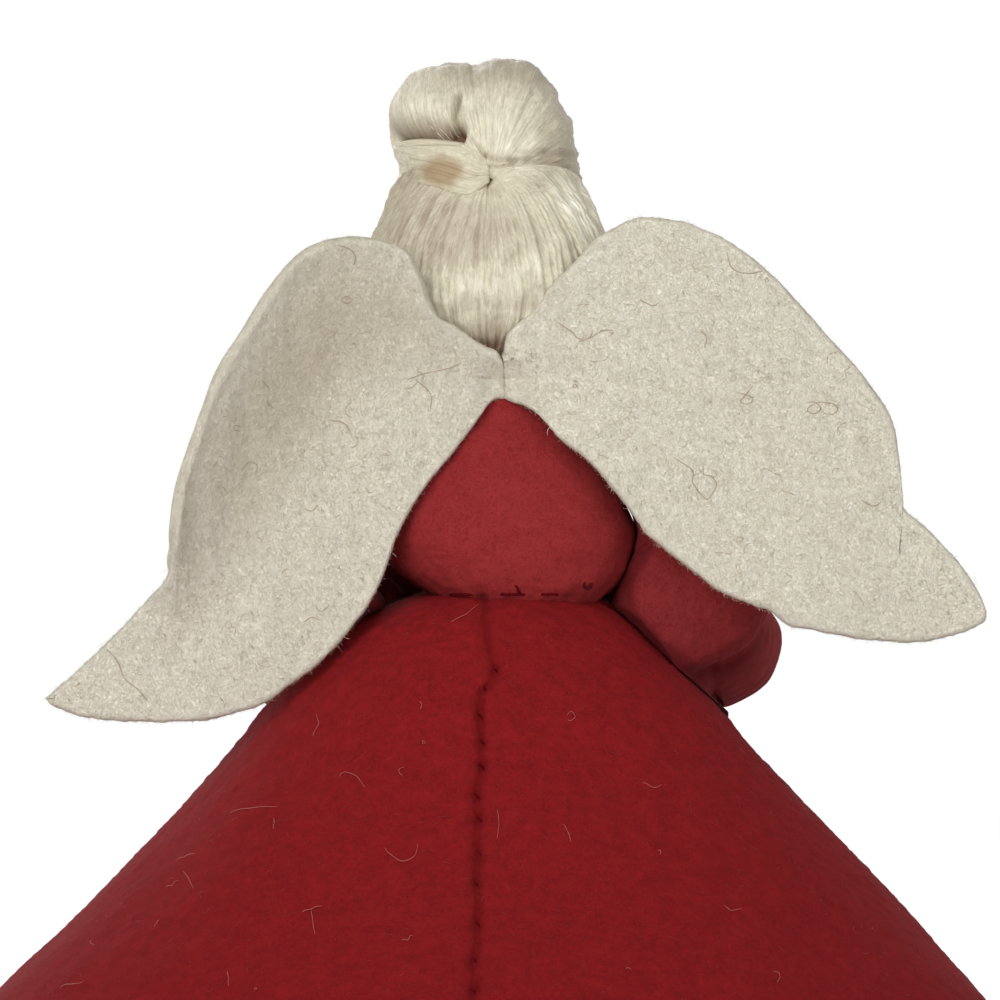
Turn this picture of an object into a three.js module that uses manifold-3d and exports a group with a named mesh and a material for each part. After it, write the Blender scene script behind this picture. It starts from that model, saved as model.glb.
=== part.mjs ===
// Felt angel figurine: a stiff red cone skirt, a stuffed bodice with bell sleeves,
// a ball head with floss hair and two thick wool felt wings sewn on at the back.
// Millimetres, +Z up. The origin is on the ground under the skirt's centre and the
// angel looks along -Y, so its back, wings and hair knot are on the +Y side.

import * as THREE from 'three';
import * as BufferGeometryUtils from 'three/addons/utils/BufferGeometryUtils.js';
import Module from 'manifold-3d';

const wasm = await Module();
wasm.setup();

// Driving dimensions

const seat = 0.3; // clearance between two pieces that touch
const overrun = 1; // how far a cut runs past what it cuts
const threadRadius = 0.3;

const hemRadius = 86.5;
const waistHeight = 74.6;
const waistRadius = 14.7;
const shoulderRadius = 32.9; // where the skirt's straight cone ends
const shoulderDrop = 15.8; // and how far that is under the waist
const waistOffset = -1.8; // the waist stands this far along X from the hem's centre
const neckOffset = 0.2; // and the neck and head this far
const feltThickness = 1.5;
const linerThickness = 0.8;
const linerInset = 2.5; // the card cone stops this far above the hem
const seamOffset = 2.3; // the back seam runs this far beside the skirt's axis
const seamGrooveDepth = 0.55;
const seamGrooveWidth = 2.6;
const seamStitchPitch = 4.2;
const stitchSway = 0.45;
const waistStitchCount = 20;
const knotRadius = 1;
const knotRise = 2.4;
const knotTurnDegrees = 46; // how far round the bodice from its back

const bodiceHeight = 35.6;
const bodiceRadius = 18.3;
const bodiceWall = 1.4;
const bodiceDepthShare = 0.92;
const neckRadius = 3.4;
const neckBury = 18; // how deep the peg stands in the stuffing
const neckReach = 10; // how far the peg goes up into the head

const headRadius = 11.8;
const headRise = 21.5; // the head's middle stands this far above the bodice's top
const noseRadius = 1.2;
const noseDrop = 1.4;
const eyeRadius = 0.9;
const eyeSpread = 3.9;
const eyeRise = 0.9;
const mouthRadius = 0.35;
const mouthWidth = 4;
const mouthDrop = 5;
const mouthCurve = 0.7;
const hairThickness = 1.1;
const napeWidth = 16.2;
const napeDepth = 14;
const napeDrop = 2; // the hair ends this far under the bodice's top
const napeAir = 0.8; // between the lower hair and the neck peg
const crownDrop = 4; // the crown's hair ends this far under the head's middle
const faceWidth = 9.6;
const faceHeight = 11.5;
const faceDrop = 2;
const leftLobe = { across: 7.2, back: 4.5, up: 11.4, radii: [7.3, 8.5, 5.6] };
const rightLobe = { across: -3.2, back: 5, up: 9.6, radii: [8.2, 9, 8.5] };
const bandLength = 15;
const bandWidth = 8;
const bandThickness = 1.6;
const bandAcross = 6;
const bandRise = 3;

const shoulderCap = 5.2; // radius of the sleeve's round upper end
const shoulderGap = 0.1;
const sleeveRadius = 7.4;
const cuffRadius = 9.4;
const cuffWall = 1.3;
const cuffDepth = 11;
const armDrop = 26.6;
const armSpread = 12.2;
const forearmLength = 21;
const leftForearmRise = 2.5;
const rightForearmRise = 0;
const wireRadius = 0.6;
const handRadius = 3.4;
const handLength = 5;

const wingThickness = 1.5;
const wingOffset = -1.9; // the line where the wings meet, along X
const wingStandOff = 2.2; // between the bodice's back and the wings' front
const wingGap = 0.8;
const wingJoint = 6.4; // length of the sewn line
const wingStitchCount = 3;
const leftWingLength = 79.1;
const rightWingLength = 74.7;
const leftDroopDegrees = 35.7;
const rightDroopDegrees = 26.6;

// Shares of those sizes, which shape the pieces

// Skirt: heights and radii between its straight cone and the waist, then the seam's
// groove across its width and its depth
const skirtShoulderShares = [[0.3, 0.7], [0.62, 0.43], [0.84, 0.2]];
const grooveShares = [[-1, 0], [-0.4, 1], [0.4, 1], [1, 0]];
// Bodice: share of its height, share of its radius
const bodiceShares = [
  [0, 0.7], [0.05, 0.86], [0.14, 0.965], [0.22, 1], [0.33, 0.95], [0.46, 0.825],
  [0.6, 0.685], [0.76, 0.54], [0.9, 0.385], [1, 0.29],
];
// Lower hair: share of its height from the bottom, width share, depth share
const napeShares = [
  [0, 0.24, 0.62], [0.12, 0.56, 0.74], [0.3, 0.86, 0.9], [0.55, 1, 1],
  [0.78, 0.96, 0.98], [1, 0.8, 0.9],
];
// Wings: share of the length along the wing, and across it, upward
const leftUpperShares = [
  [-0.025, 0.035], [0.005, 0.071], [0.023, 0.14], [0.012, 0.24], [0.05, 0.328],
  [0.134, 0.378], [0.259, 0.37], [0.384, 0.318], [0.502, 0.239], [0.618, 0.148],
  [0.702, 0.056], [0.76, 0.04], [0.88, 0.026], [1, 0.006],
];
const leftLowerShares = [
  [0.021, -0.03], [0.104, -0.036], [0.256, -0.08], [0.364, -0.154], [0.494, -0.214],
  [0.635, -0.228], [0.74, -0.207], [0.869, -0.129], [1, -0.01],
];
const rightUpperShares = [
  [-0.019, 0.039], [-0.003, 0.09], [0.02, 0.228], [0.045, 0.304], [0.111, 0.382],
  [0.263, 0.413], [0.423, 0.366], [0.603, 0.278], [0.728, 0.184], [0.783, 0.102],
  [0.831, 0.092], [0.92, 0.06], [1, 0.012],
];
const rightLowerShares = [
  [0.016, -0.033], [0.081, -0.039], [0.23, -0.086], [0.368, -0.153], [0.54, -0.183],
  [0.705, -0.178], [0.869, -0.127], [1, -0.02],
];
const wingSweepShare = 0.1; // how far the wings lie back, for each length outward
// How far the upper and the lower rims curl back, and where along the wing they do most
const leftCurlShares = [0.15, 0.02];
const rightCurlShares = [0.02, 0.03];
const curlPlaceShare = 0.63;
const wingPlaceShare = 0.862; // the wings' sewn middle, up the bodice
// Arms: shares of the spread, of the forearm's length forward and of the drop
const armPathShares = [
  [0, 0, 0], [0.62, -0.12, 0.44], [0.93, -0.04, 0.74], [1.08, 0.3, 0.93], [1.16, 1, 1.02],
];
const shoulderShare = 0.62; // the arms' height on the bodice
const elbowShare = 0.55; // where the sleeve starts to flare, along its length
const capShares = [0.2, 0.45, 0.72, 0.92]; // rings of the round shoulder end

// How finely the shapes are faceted

const roundSides = 22;
const skirtSides = 36;
const tubeSides = 6;
const wingStations = 22;
const wingRows = 5;
const armStations = 11;
const sleeveSides = 12;
const smallSides = 10; // eyes and knot
const wireSteps = 12;
const stitchSteps = 2; // facets of a thread between its turns

// Geometry helpers

const v = (x, y, z) => new THREE.Vector3(x, y, z);

function signedVolume(geometry) {
  const place = geometry.attributes.position;
  const index = geometry.index.array;
  const [a, b, c] = [v(0, 0, 0), v(0, 0, 0), v(0, 0, 0)];
  let sum = 0;
  for (let i = 0; i < index.length; i += 3) {
    a.fromBufferAttribute(place, index[i]);
    b.fromBufferAttribute(place, index[i + 1]);
    c.fromBufferAttribute(place, index[i + 2]);
    sum += a.dot(b.cross(c));
  }
  return sum;
}

// Joins rings of points, one to the next, into one closed surface. Open ends get a
// fan, and looped rings meet their first again, as round a hoop.
function skin(rings, looped = false) {
  const sides = rings[0].length;
  const points = rings.flat();
  const index = [];
  const last = looped ? rings.length : rings.length - 1;
  for (let i = 0; i < last; i++) {
    for (let j = 0; j < sides; j++) {
      const a = i * sides + j;
      const b = i * sides + (j + 1) % sides;
      const c = ((i + 1) % rings.length) * sides + j;
      const d = ((i + 1) % rings.length) * sides + (j + 1) % sides;
      index.push(a, b, d, a, d, c);
    }
  }
  if (!looped) {
    for (const ring of [0, rings.length - 1]) {
      const centre = new THREE.Vector3();
      rings[ring].forEach((p) => centre.addScaledVector(p, 1 / sides));
      points.push(centre);
      for (let j = 0; j < sides; j++) {
        const edge = [ring * sides + j, ring * sides + (j + 1) % sides];
        if (ring === 0) edge.reverse();
        index.push(points.length - 1, ...edge);
      }
    }
  }
  const geometry = new THREE.BufferGeometry().setFromPoints(points);
  geometry.setIndex(index);
  if (signedVolume(geometry) < 0) {
    for (let i = 0; i < index.length; i += 3) {
      [index[i], index[i + 1]] = [index[i + 1], index[i]];
    }
    geometry.setIndex(index);
  }
  return geometry;
}

function solid(geometry) {
  const bare = geometry.clone();
  bare.deleteAttribute('normal');
  bare.deleteAttribute('uv');
  const merged = BufferGeometryUtils.mergeVertices(bare);
  return new wasm.Manifold(new wasm.Mesh({
    numProp: 3,
    vertProperties: new Float32Array(merged.attributes.position.array),
    triVerts: new Uint32Array(merged.index.array),
  }));
}

function surface(manifold) {
  const mesh = manifold.getMesh();
  const geometry = new THREE.BufferGeometry();
  geometry.setAttribute('position', new THREE.BufferAttribute(mesh.vertProperties, 3));
  geometry.setIndex(new THREE.BufferAttribute(mesh.triVerts, 1));
  return geometry;
}

function ball(centre, radii, sides = roundSides) {
  const geometry = new THREE.SphereGeometry(1, sides, Math.round(sides * 0.6));
  geometry.rotateX(Math.PI / 2);
  geometry.scale(radii.x, radii.y, radii.z);
  geometry.translate(centre.x, centre.y, centre.z);
  return geometry;
}

function grown(radii, by) {
  return v(radii.x + by, radii.y + by, radii.z + by);
}

function rod(radius, from, to, sides = roundSides / 2) {
  const geometry = new THREE.CylinderGeometry(radius, radius, to - from, sides);
  geometry.rotateX(Math.PI / 2);
  geometry.translate(0, 0, (from + to) / 2);
  return geometry;
}

function tube(points, radius, steps) {
  const section = new THREE.Shape();
  for (let i = 0; i < tubeSides; i++) {
    const angle = (2 * Math.PI * i) / tubeSides;
    const [x, y] = [radius * Math.cos(angle), radius * Math.sin(angle)];
    if (i === 0) section.moveTo(x, y);
    else section.lineTo(x, y);
  }
  section.closePath();
  return new THREE.ExtrudeGeometry(section, {
    steps,
    extrudePath: new THREE.CatmullRomCurve3(points),
    bevelEnabled: false,
  });
}

// A round body along a centreline: each station has a place, a heading and a radius.
function lofted(stations, sides = sleeveSides) {
  return skin(stations.map(({ at, along, radius }) => {
    const side = v(0, 0, 1).cross(along).normalize();
    const up = along.clone().cross(side).normalize();
    return [...Array(sides).keys()].map((j) => {
      const angle = (2 * Math.PI * j) / sides;
      return at.clone()
        .addScaledVector(side, radius * Math.cos(angle))
        .addScaledVector(up, radius * Math.sin(angle));
    });
  }));
}

// Colours and finishes of the pieces

const felt = (colour) => new THREE.MeshStandardMaterial({ color: colour, roughness: 0.95 });
const redFelt = felt(0x8c2327);
const ivoryFelt = felt(0xd8d0bc);
const skinFelt = felt(0xe0b596);
const wadding = felt(0xe6e2d8);
const redThread = new THREE.MeshStandardMaterial({ color: 0x5e1518, roughness: 0.8 });
const ivoryThread = new THREE.MeshStandardMaterial({ color: 0xd9d2c0, roughness: 0.8 });
const darkThread = new THREE.MeshStandardMaterial({ color: 0x3a2a22, roughness: 0.7 });
const rosyThread = new THREE.MeshStandardMaterial({ color: 0xa8484c, roughness: 0.7 });
const floss = new THREE.MeshStandardMaterial({ color: 0xcdc6af, roughness: 0.45 });
const card = new THREE.MeshStandardMaterial({ color: 0xb9a98c, roughness: 0.9 });
const beech = new THREE.MeshStandardMaterial({ color: 0xc9a677, roughness: 0.6 });
const wire = new THREE.MeshStandardMaterial({
  color: 0x9a9a98,
  roughness: 0.35,
  metalness: 1,
});

const angel = new THREE.Group();

function add(name, geometry, material) {
  const mesh = new THREE.Mesh(geometry, material);
  mesh.name = name;
  angel.add(mesh);
}

// The skirt's surface: radius by height, then a lean of the centre and a seam that
// keeps beside the axis from waist to hem

const shoulderHeight = waistHeight - shoulderDrop;
const shoulderRun = shoulderRadius - waistRadius;
const skirtProfile = [
  [0, hemRadius],
  [shoulderHeight / 2, (hemRadius + shoulderRadius) / 2],
  [shoulderHeight, shoulderRadius],
  ...skirtShoulderShares.map(([up, out]) => [
    shoulderHeight + up * shoulderDrop,
    waistRadius + out * shoulderRun,
  ]),
  [waistHeight, waistRadius],
];

function skirtRadius(height) {
  let k = 1;
  while (k < skirtProfile.length - 1 && skirtProfile[k][0] < height) k++;
  const [[h0, r0], [h1, r1]] = [skirtProfile[k - 1], skirtProfile[k]];
  return r0 + ((height - h0) / (h1 - h0)) * (r1 - r0);
}

const skirtCentre = (height) => waistOffset * (height / waistHeight) ** 3;

const coneFlareShare = (hemRadius - shoulderRadius) / shoulderHeight;
const levelShare = Math.hypot(1, coneFlareShare); // a wall's level width by thickness

function skirtPoint(height, inset, angle) {
  const radius = skirtRadius(height) - inset * levelShare;
  const turn = angle - Math.asin(Math.min(0.9, seamOffset / skirtRadius(height)));
  return v(
    skirtCentre(height) + radius * Math.cos(turn),
    radius * Math.sin(turn),
    height,
  );
}

// A wall of the skirt between two depths under its surface. Its columns run from the
// hem to the top, and the first few may make the seam's groove.
function coneWall(outer, inner, bottom, top, grooved) {
  const between = skirtProfile.map(([h]) => h).filter((h) => h > bottom && h < top);
  const heights = [bottom, ...between, top];
  const column = (turnAt, sunk = 0) => [
    ...heights.map((h) => skirtPoint(h, outer + sunk, turnAt(h))),
    ...[...heights].reverse().map((h) => skirtPoint(h, inner, turnAt(h))),
  ];
  const plain = [...Array(skirtSides).keys()].map((i) => {
    const turn = Math.PI / 2 + (2 * Math.PI * (i + 0.5)) / skirtSides;
    return column(() => turn);
  });
  const groove = grooved ? grooveShares.map(([side, sunk]) => column(
    (h) => Math.PI / 2 + (side * seamGrooveWidth) / 2 / skirtRadius(h),
    sunk * seamGrooveDepth,
  )) : [];
  return skin([...groove, ...plain], true);
}

add('skirt', coneWall(0, feltThickness, 0, waistHeight, true), redFelt);

// Liner: a card cone inside the straight part of the skirt

const linerOuter = feltThickness + seat;
const linerInner = linerOuter + linerThickness;
add('skirt_liner', coneWall(linerOuter, linerInner, linerInset, shoulderHeight, false), card);

// The seam's thread lies in the groove and sways from side to side with each stitch

const seamLift = threadRadius + seat - seamGrooveDepth;
const seamRise = waistHeight - 2 * linerInset;
const seamStitches = Math.floor((seamRise * levelShare) / seamStitchPitch);
const seamPoints = [...Array(2 * seamStitches + 1).keys()].map((i) => {
  const height = linerInset + seamRise * (1 - i / (2 * seamStitches));
  const sway = (i % 2 ? 1 : -1) * stitchSway / skirtRadius(height);
  return skirtPoint(height, -seamLift, Math.PI / 2 + sway);
});
add('skirt_seam_thread', tube(seamPoints, threadRadius, seamPoints.length - 1), redThread);

// Bodice: a stuffed felt bag of round plan, a little flat from front to back

const bodiceBottom = waistHeight + seat;
const bodiceTop = bodiceBottom + bodiceHeight;

function bodiceOutline(inset, bottom, top) {
  return bodiceShares
    .map(([up, out]) => [bodiceBottom + up * bodiceHeight, out * bodiceRadius - inset])
    .map(([z, r]) => [Math.min(Math.max(z, bottom), top), r]);
}

function bodiceCentre(height) {
  return waistOffset + ((neckOffset - waistOffset) * (height - bodiceBottom)) / bodiceHeight;
}

function bodicePoint(height, radius, angle) {
  return v(
    bodiceCentre(height) + radius * Math.cos(angle),
    radius * bodiceDepthShare * Math.sin(angle),
    height,
  );
}

const roundAngles = [...Array(roundSides).keys()].map((j) => (2 * Math.PI * j) / roundSides);

function turned(outline) {
  return roundAngles.map((angle) => outline.map(([z, r]) => bodicePoint(z, r, angle)));
}

const outside = bodiceOutline(0, bodiceBottom, bodiceTop);
const inside = bodiceOutline(bodiceWall, bodiceBottom, bodiceTop);
add('bodice', skin(turned([...outside, ...inside.reverse()]), true), redFelt);

function bodiceRadiusAt(height) {
  let k = 1;
  while (k < outside.length - 1 && outside[k][0] < height) k++;
  const [[h0, r0], [h1, r1]] = [outside[k - 1], outside[k]];
  return r0 + ((height - h0) / (h1 - h0)) * (r1 - r0);
}

const stuffingTop = bodiceTop - 2 * bodiceWall;
const stuffingOutline = bodiceOutline(bodiceWall + seat, bodiceBottom + seat, stuffingTop);
const stuffingRings = stuffingOutline
  .filter(([z], i, all) => i === 0 || z > all[i - 1][0])
  .map(([z, r]) => roundAngles.map((angle) => bodicePoint(z, r, angle)));

// Neck peg: a turned rod from the middle of the stuffing up into the head

const headHeight = bodiceTop + headRise;
const neckBottom = stuffingTop - neckBury;
const neckTop = headHeight - headRadius + neckReach;
const neckPeg = rod(neckRadius, neckBottom, neckTop);
const neckBore = rod(neckRadius + seat, neckBottom - seat, neckTop + seat);
neckPeg.translate(neckOffset, 0, 0);
neckBore.translate(neckOffset, 0, 0);
const neckHole = solid(neckBore);
add('neck_peg', neckPeg, beech);
add('bodice_stuffing', surface(solid(skin(stuffingRings)).subtract(neckHole)), wadding);

// Waist stitches: one thread round the crease where the bodice meets the skirt

const waistThreadPlace = waistRadius + seat;
const waistThreadHeight = waistHeight + threadRadius + 2 * seat;
const waistPoints = [...Array(2 * waistStitchCount).keys()].map((i) => {
  const angle = Math.PI / 2 + ((i + 1) * Math.PI) / (waistStitchCount + 0.5);
  const height = waistThreadHeight + (i % 2 ? stitchSway / 2 : 0);
  return v(
    waistOffset + waistThreadPlace * Math.cos(angle),
    waistThreadPlace * Math.sin(angle),
    height,
  );
});
add('waist_thread', tube(waistPoints, threadRadius, waistPoints.length - 1), redThread);

// The knot that ends the waist thread stands on the bodice, right of the back seam

const knotAngle = Math.PI / 2 + THREE.MathUtils.degToRad(knotTurnDegrees);
const knotHeight = bodiceBottom + knotRise;
const knotTop = knotHeight + knotRadius + threadRadius;
const knotCentre = bodicePoint(
  knotHeight,
  bodiceRadiusAt(knotTop) + threadRadius + seat,
  knotAngle,
);
const knot = new THREE.TorusGeometry(knotRadius, threadRadius, tubeSides, smallSides);
knot.rotateX(Math.PI / 2);
knot.rotateZ(knotAngle - Math.PI / 2);
knot.translate(knotCentre.x, knotCentre.y, knotCentre.z);
add('waist_knot', surface(solid(knot)), darkThread);

// Head: a ball with a small nose, bored for the neck peg; the face looks along -Y

const headCentre = v(neckOffset, 0, headHeight);
const headRadii = v(headRadius, headRadius, headRadius);
const headBall = solid(ball(headCentre, headRadii));
const headRoom = solid(ball(headCentre, grown(headRadii, seat)));

function onFace(across, up, out) {
  const deep = Math.sqrt(out ** 2 - across ** 2 - up ** 2);
  return headCentre.clone().add(v(across, -deep, up));
}

const noseRadii = v(noseRadius, noseRadius, noseRadius);
const nose = solid(ball(onFace(0, -noseDrop, headRadius), noseRadii, smallSides));
add('head', surface(headBall.add(nose).subtract(neckHole)), skinFelt);

const eyeRadii = v(eyeRadius, eyeRadius, eyeRadius);
for (const [side, name] of [[1, 'left_eye'], [-1, 'right_eye']]) {
  const stitch = solid(ball(onFace(side * eyeSpread, eyeRise, headRadius), eyeRadii, smallSides));
  add(name, surface(stitch.subtract(headRoom)), darkThread);
}

const mouthOut = headRadius + seat + mouthRadius;
const mouthPoints = [-1, -0.5, 0, 0.5, 1].map((share) => onFace(
  (share * mouthWidth) / 2,
  -mouthDrop + mouthCurve * share ** 2,
  mouthOut,
));
add('mouth', tube(mouthPoints, mouthRadius, mouthPoints.length - 1), rosyThread);

// Hair: floss over the ball, two rolled lobes on the crown, a band across the back
// of the head, and a lower fall that turns in at the nape. The face stays open.

const faceRoom = solid(ball(
  v(neckOffset, -headRadius - seat, headHeight - faceDrop),
  v(faceWidth, headRadius * 0.7, faceHeight),
));

const hairRadius = headRadius + seat + hairThickness;
const crownRadii = v(hairRadius, hairRadius + hairThickness / 2, hairRadius);
const crownBall = solid(ball(headCentre, crownRadii));
const crownRoom = solid(ball(headCentre, grown(crownRadii, seat)));
const partingHeight = headHeight - crownDrop;
const below = new THREE.BoxGeometry(4 * hairRadius, 4 * hairRadius, 4 * hairRadius);
below.translate(0, 0, partingHeight - 2 * hairRadius);
const crown = crownBall.subtract(headRoom).subtract(faceRoom).subtract(solid(below));
add('hair_crown', surface(crown), floss);

function lobe({ across, back, up, radii }, by = 0) {
  return solid(ball(headCentre.clone().add(v(across, back, up)), grown(v(...radii), by)));
}

add('hair_lobe_right', surface(lobe(rightLobe).subtract(crownRoom)), floss);
add(
  'hair_lobe_left',
  surface(lobe(leftLobe).subtract(crownRoom).subtract(lobe(rightLobe, seat))),
  floss,
);

const napeBottom = bodiceTop - napeDrop;
const napeTop = partingHeight - seat;
const napeHeight = napeTop - napeBottom;
const napeRings = napeShares.map(([up, out, back]) => roundAngles.map((angle) => v(
  neckOffset + out * napeWidth * Math.cos(angle),
  back * napeDepth * Math.sin(angle),
  napeBottom + up * napeHeight,
)));
const bodiceRoom = solid(skin([...outside].map(([z, r]) => (
  roundAngles.map((angle) => bodicePoint(z, r + seat, angle))
))));
const neckRoom = rod(neckRadius + seat + napeAir, napeBottom - overrun, headHeight);
neckRoom.translate(neckOffset, 0, 0);
const napeFace = faceRoom.add(solid(ball(
  v(neckOffset, -napeDepth, napeBottom),
  v(faceWidth, napeDepth * 0.72, napeHeight),
)));
const nape = solid(skin(napeRings))
  .subtract(headRoom)
  .subtract(solid(neckRoom))
  .subtract(bodiceRoom)
  .subtract(napeFace);
add('hair_nape', surface(nape), floss);

// Band: a flat lock glued across the back of the head where the hair is gathered

const bandCentre = headCentre.clone().add(v(bandAcross, 0, bandRise));
const bandOut = ball(
  bandCentre,
  v(bandLength / 2, crownRadii.y + bandThickness, bandWidth / 2),
);
const bandFront = new THREE.BoxGeometry(4 * hairRadius, 2 * hairRadius, 4 * hairRadius);
bandFront.translate(headCentre.x, headCentre.y - hairRadius / 2, headCentre.z);
const napeRoom = solid(skin(napeShares.map(([up, out, back]) => roundAngles.map((angle) => v(
  neckOffset + (out * napeWidth + seat) * Math.cos(angle),
  (back * napeDepth + seat) * Math.sin(angle),
  napeBottom - seat + up * (napeHeight + 2 * seat),
)))));
const band = solid(bandOut)
  .subtract(crownRoom)
  .subtract(napeRoom)
  .subtract(solid(bandFront))
  .subtract(lobe(rightLobe, seat))
  .subtract(lobe(leftLobe, seat));
add('hair_band', surface(band), floss);

// Arms: a sleeve round at the shoulder and open at its bell cuff, a bent wire in it
// and a hand on the wire's end

const armHeight = bodiceBottom + shoulderShare * bodiceHeight;

function makeArm(name, side, forearmRise) {
  const out = bodiceRadiusAt(armHeight - shoulderCap / 4) + shoulderGap + shoulderCap;
  const pivot = v(bodiceCentre(armHeight - shoulderCap) + side * out, 0, armHeight);
  const path = new THREE.CatmullRomCurve3(armPathShares.map(([spread, reach, drop]) => v(
    pivot.x + side * spread * armSpread,
    -reach * forearmLength,
    pivot.z - drop * armDrop + reach * forearmRise,
  )));
  const station = (share, radius) => ({
    at: path.getPointAt(share),
    along: path.getTangentAt(share),
    radius,
  });
  const first = path.getTangentAt(0);
  const cap = capShares.map((share) => ({
    at: pivot.clone().addScaledVector(first, -Math.sqrt(1 - share ** 2) * shoulderCap),
    along: first,
    radius: share * shoulderCap,
  }));
  const flare = (share) => {
    const upper = shoulderCap + (sleeveRadius - shoulderCap) * Math.min(1, share / elbowShare);
    const bell = Math.max(0, (share - elbowShare) / (1 - elbowShare));
    return upper + (cuffRadius - sleeveRadius) * bell ** 1.4;
  };
  const shares = [...Array(armStations + 1).keys()].map((i) => i / armStations);
  const cuffFrom = 1 - cuffDepth / path.getLength();
  const outer = shares.map((share) => station(share, flare(share)));
  const inner = shares.filter((share) => share > cuffFrom).reverse()
    .map((share) => station(share, flare(share) - cuffWall));
  const wireFrom = shoulderCap / path.getLength();
  const wirePoints = shares.map((share) => path.getPointAt(wireFrom + (1 - wireFrom) * share));
  const end = path.getPointAt(1);
  const heading = path.getTangentAt(1);
  const channelPoints = [
    wirePoints[0].clone().addScaledVector(first, -seat),
    ...wirePoints.slice(1, -1),
    end.clone().addScaledVector(heading, seat),
  ];
  const channel = solid(tube(channelPoints, wireRadius + seat, wireSteps));
  const sleeve = solid(lofted([...cap, ...outer, ...inner]));
  const hand = ball(v(0, 0, 0), v(handRadius, handRadius, handLength), sleeveSides);
  hand.applyQuaternion(new THREE.Quaternion().setFromUnitVectors(v(0, 0, 1), heading));
  hand.translate(end.x, end.y, end.z);
  add(`${name}_sleeve`, surface(sleeve.subtract(channel)), redFelt);
  add(`${name}_arm_wire`, tube(wirePoints, wireRadius, wireSteps), wire);
  add(`${name}_hand`, surface(solid(hand).subtract(channel)), skinFelt);
}

makeArm('left', 1, leftForearmRise);
makeArm('right', -1, rightForearmRise);

// Wings: sheets of thick felt that meet at the back seam, lie back as they spread and
// curl at their rims

const wingHeight = bodiceBottom + wingPlaceShare * bodiceHeight;
const wingSeat = bodiceRadiusAt(wingHeight - wingJoint / 2) * bodiceDepthShare;
const wingFace = wingSeat + wingStandOff; // the front of the felt at the join

const curlPower = Math.log(0.5) / Math.log(curlPlaceShare);

function makeWing({ name, side, length, droopDegrees, upperShares, lowerShares, curlShares }) {
  const droop = THREE.MathUtils.degToRad(droopDegrees);
  const along = v(side * Math.cos(droop), 0, -Math.sin(droop));
  const across = v(side * Math.sin(droop), 0, Math.cos(droop));
  const root = v(wingOffset + (side * wingGap) / 2, 0, wingHeight);
  const outline = (shares) => new THREE.CatmullRomCurve3(shares.map(([a, b]) => root.clone()
    .addScaledVector(along, a * length)
    .addScaledVector(across, b * length)));
  const upper = outline(upperShares);
  const lower = outline(lowerShares);
  const rings = [...Array(wingStations + 1).keys()].map((i) => {
    const share = i / wingStations;
    const curl = Math.sin(Math.PI * share ** curlPower) * length;
    const [top, bottom] = [upper.getPointAt(share), lower.getPointAt(share)];
    const face = [...Array(wingRows + 1).keys()].map((j) => {
      const rise = j / wingRows;
      const point = bottom.clone().lerp(top, rise);
      const reach = Math.abs(point.x - root.x);
      const upperRim = curlShares[0] * rise ** 3;
      const lowerRim = curlShares[1] * (1 - rise) ** 3;
      point.y = wingFace + wingSweepShare * reach + curl * (upperRim + lowerRim);
      return point;
    });
    const back = face.map((point) => point.clone().add(v(0, wingThickness, 0)));
    return [...face, ...back.reverse()];
  });
  add(name, skin(rings), ivoryFelt);
}

makeWing({
  name: 'left_wing',
  side: 1,
  length: leftWingLength,
  droopDegrees: leftDroopDegrees,
  upperShares: leftUpperShares,
  lowerShares: leftLowerShares,
  curlShares: leftCurlShares,
});
makeWing({
  name: 'right_wing',
  side: -1,
  length: rightWingLength,
  droopDegrees: rightDroopDegrees,
  upperShares: rightUpperShares,
  lowerShares: rightLowerShares,
  curlShares: rightCurlShares,
});

// Wing stitches: one thread that goes to and fro between the wings and the bodice

const wingStitchPoints = [...Array(2 * wingStitchCount + 1).keys()].map((i) => {
  const share = i / (2 * wingStitchCount);
  const height = wingHeight + (share - 0.5) * wingJoint;
  const near = bodiceRadiusAt(height) * bodiceDepthShare + 2 * seat + threadRadius;
  const far = wingFace - seat - threadRadius;
  return v(wingOffset, i % 2 ? near : far, height);
});
add('wing_thread', tube(
  wingStitchPoints,
  threadRadius,
  stitchSteps * (wingStitchPoints.length - 1),
), ivoryThread);

export default angel;
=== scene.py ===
import bpy
import numpy as np
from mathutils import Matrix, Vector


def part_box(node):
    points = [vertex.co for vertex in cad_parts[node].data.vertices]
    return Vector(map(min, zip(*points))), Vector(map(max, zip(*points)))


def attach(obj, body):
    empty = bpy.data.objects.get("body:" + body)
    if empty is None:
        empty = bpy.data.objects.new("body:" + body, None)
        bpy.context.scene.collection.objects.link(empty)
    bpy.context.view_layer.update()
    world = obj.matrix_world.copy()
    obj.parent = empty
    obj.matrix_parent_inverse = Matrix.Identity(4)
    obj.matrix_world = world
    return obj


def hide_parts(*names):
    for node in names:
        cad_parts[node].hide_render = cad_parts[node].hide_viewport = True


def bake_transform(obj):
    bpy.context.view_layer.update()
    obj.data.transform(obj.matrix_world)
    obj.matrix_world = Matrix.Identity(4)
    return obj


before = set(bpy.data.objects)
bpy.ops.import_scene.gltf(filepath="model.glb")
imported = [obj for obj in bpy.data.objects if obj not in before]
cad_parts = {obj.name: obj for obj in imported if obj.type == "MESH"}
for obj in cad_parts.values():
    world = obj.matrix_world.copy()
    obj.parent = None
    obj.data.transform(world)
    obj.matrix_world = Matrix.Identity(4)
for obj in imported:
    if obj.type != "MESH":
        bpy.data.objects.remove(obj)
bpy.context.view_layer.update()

# Skirt: a stiff cone of red wool felt, butted edge to edge down the back and whipped from
# inside, so the seam is a shallow valley with a pit at each stitch. It rounds in at the waist.

MM = 0.001


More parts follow.
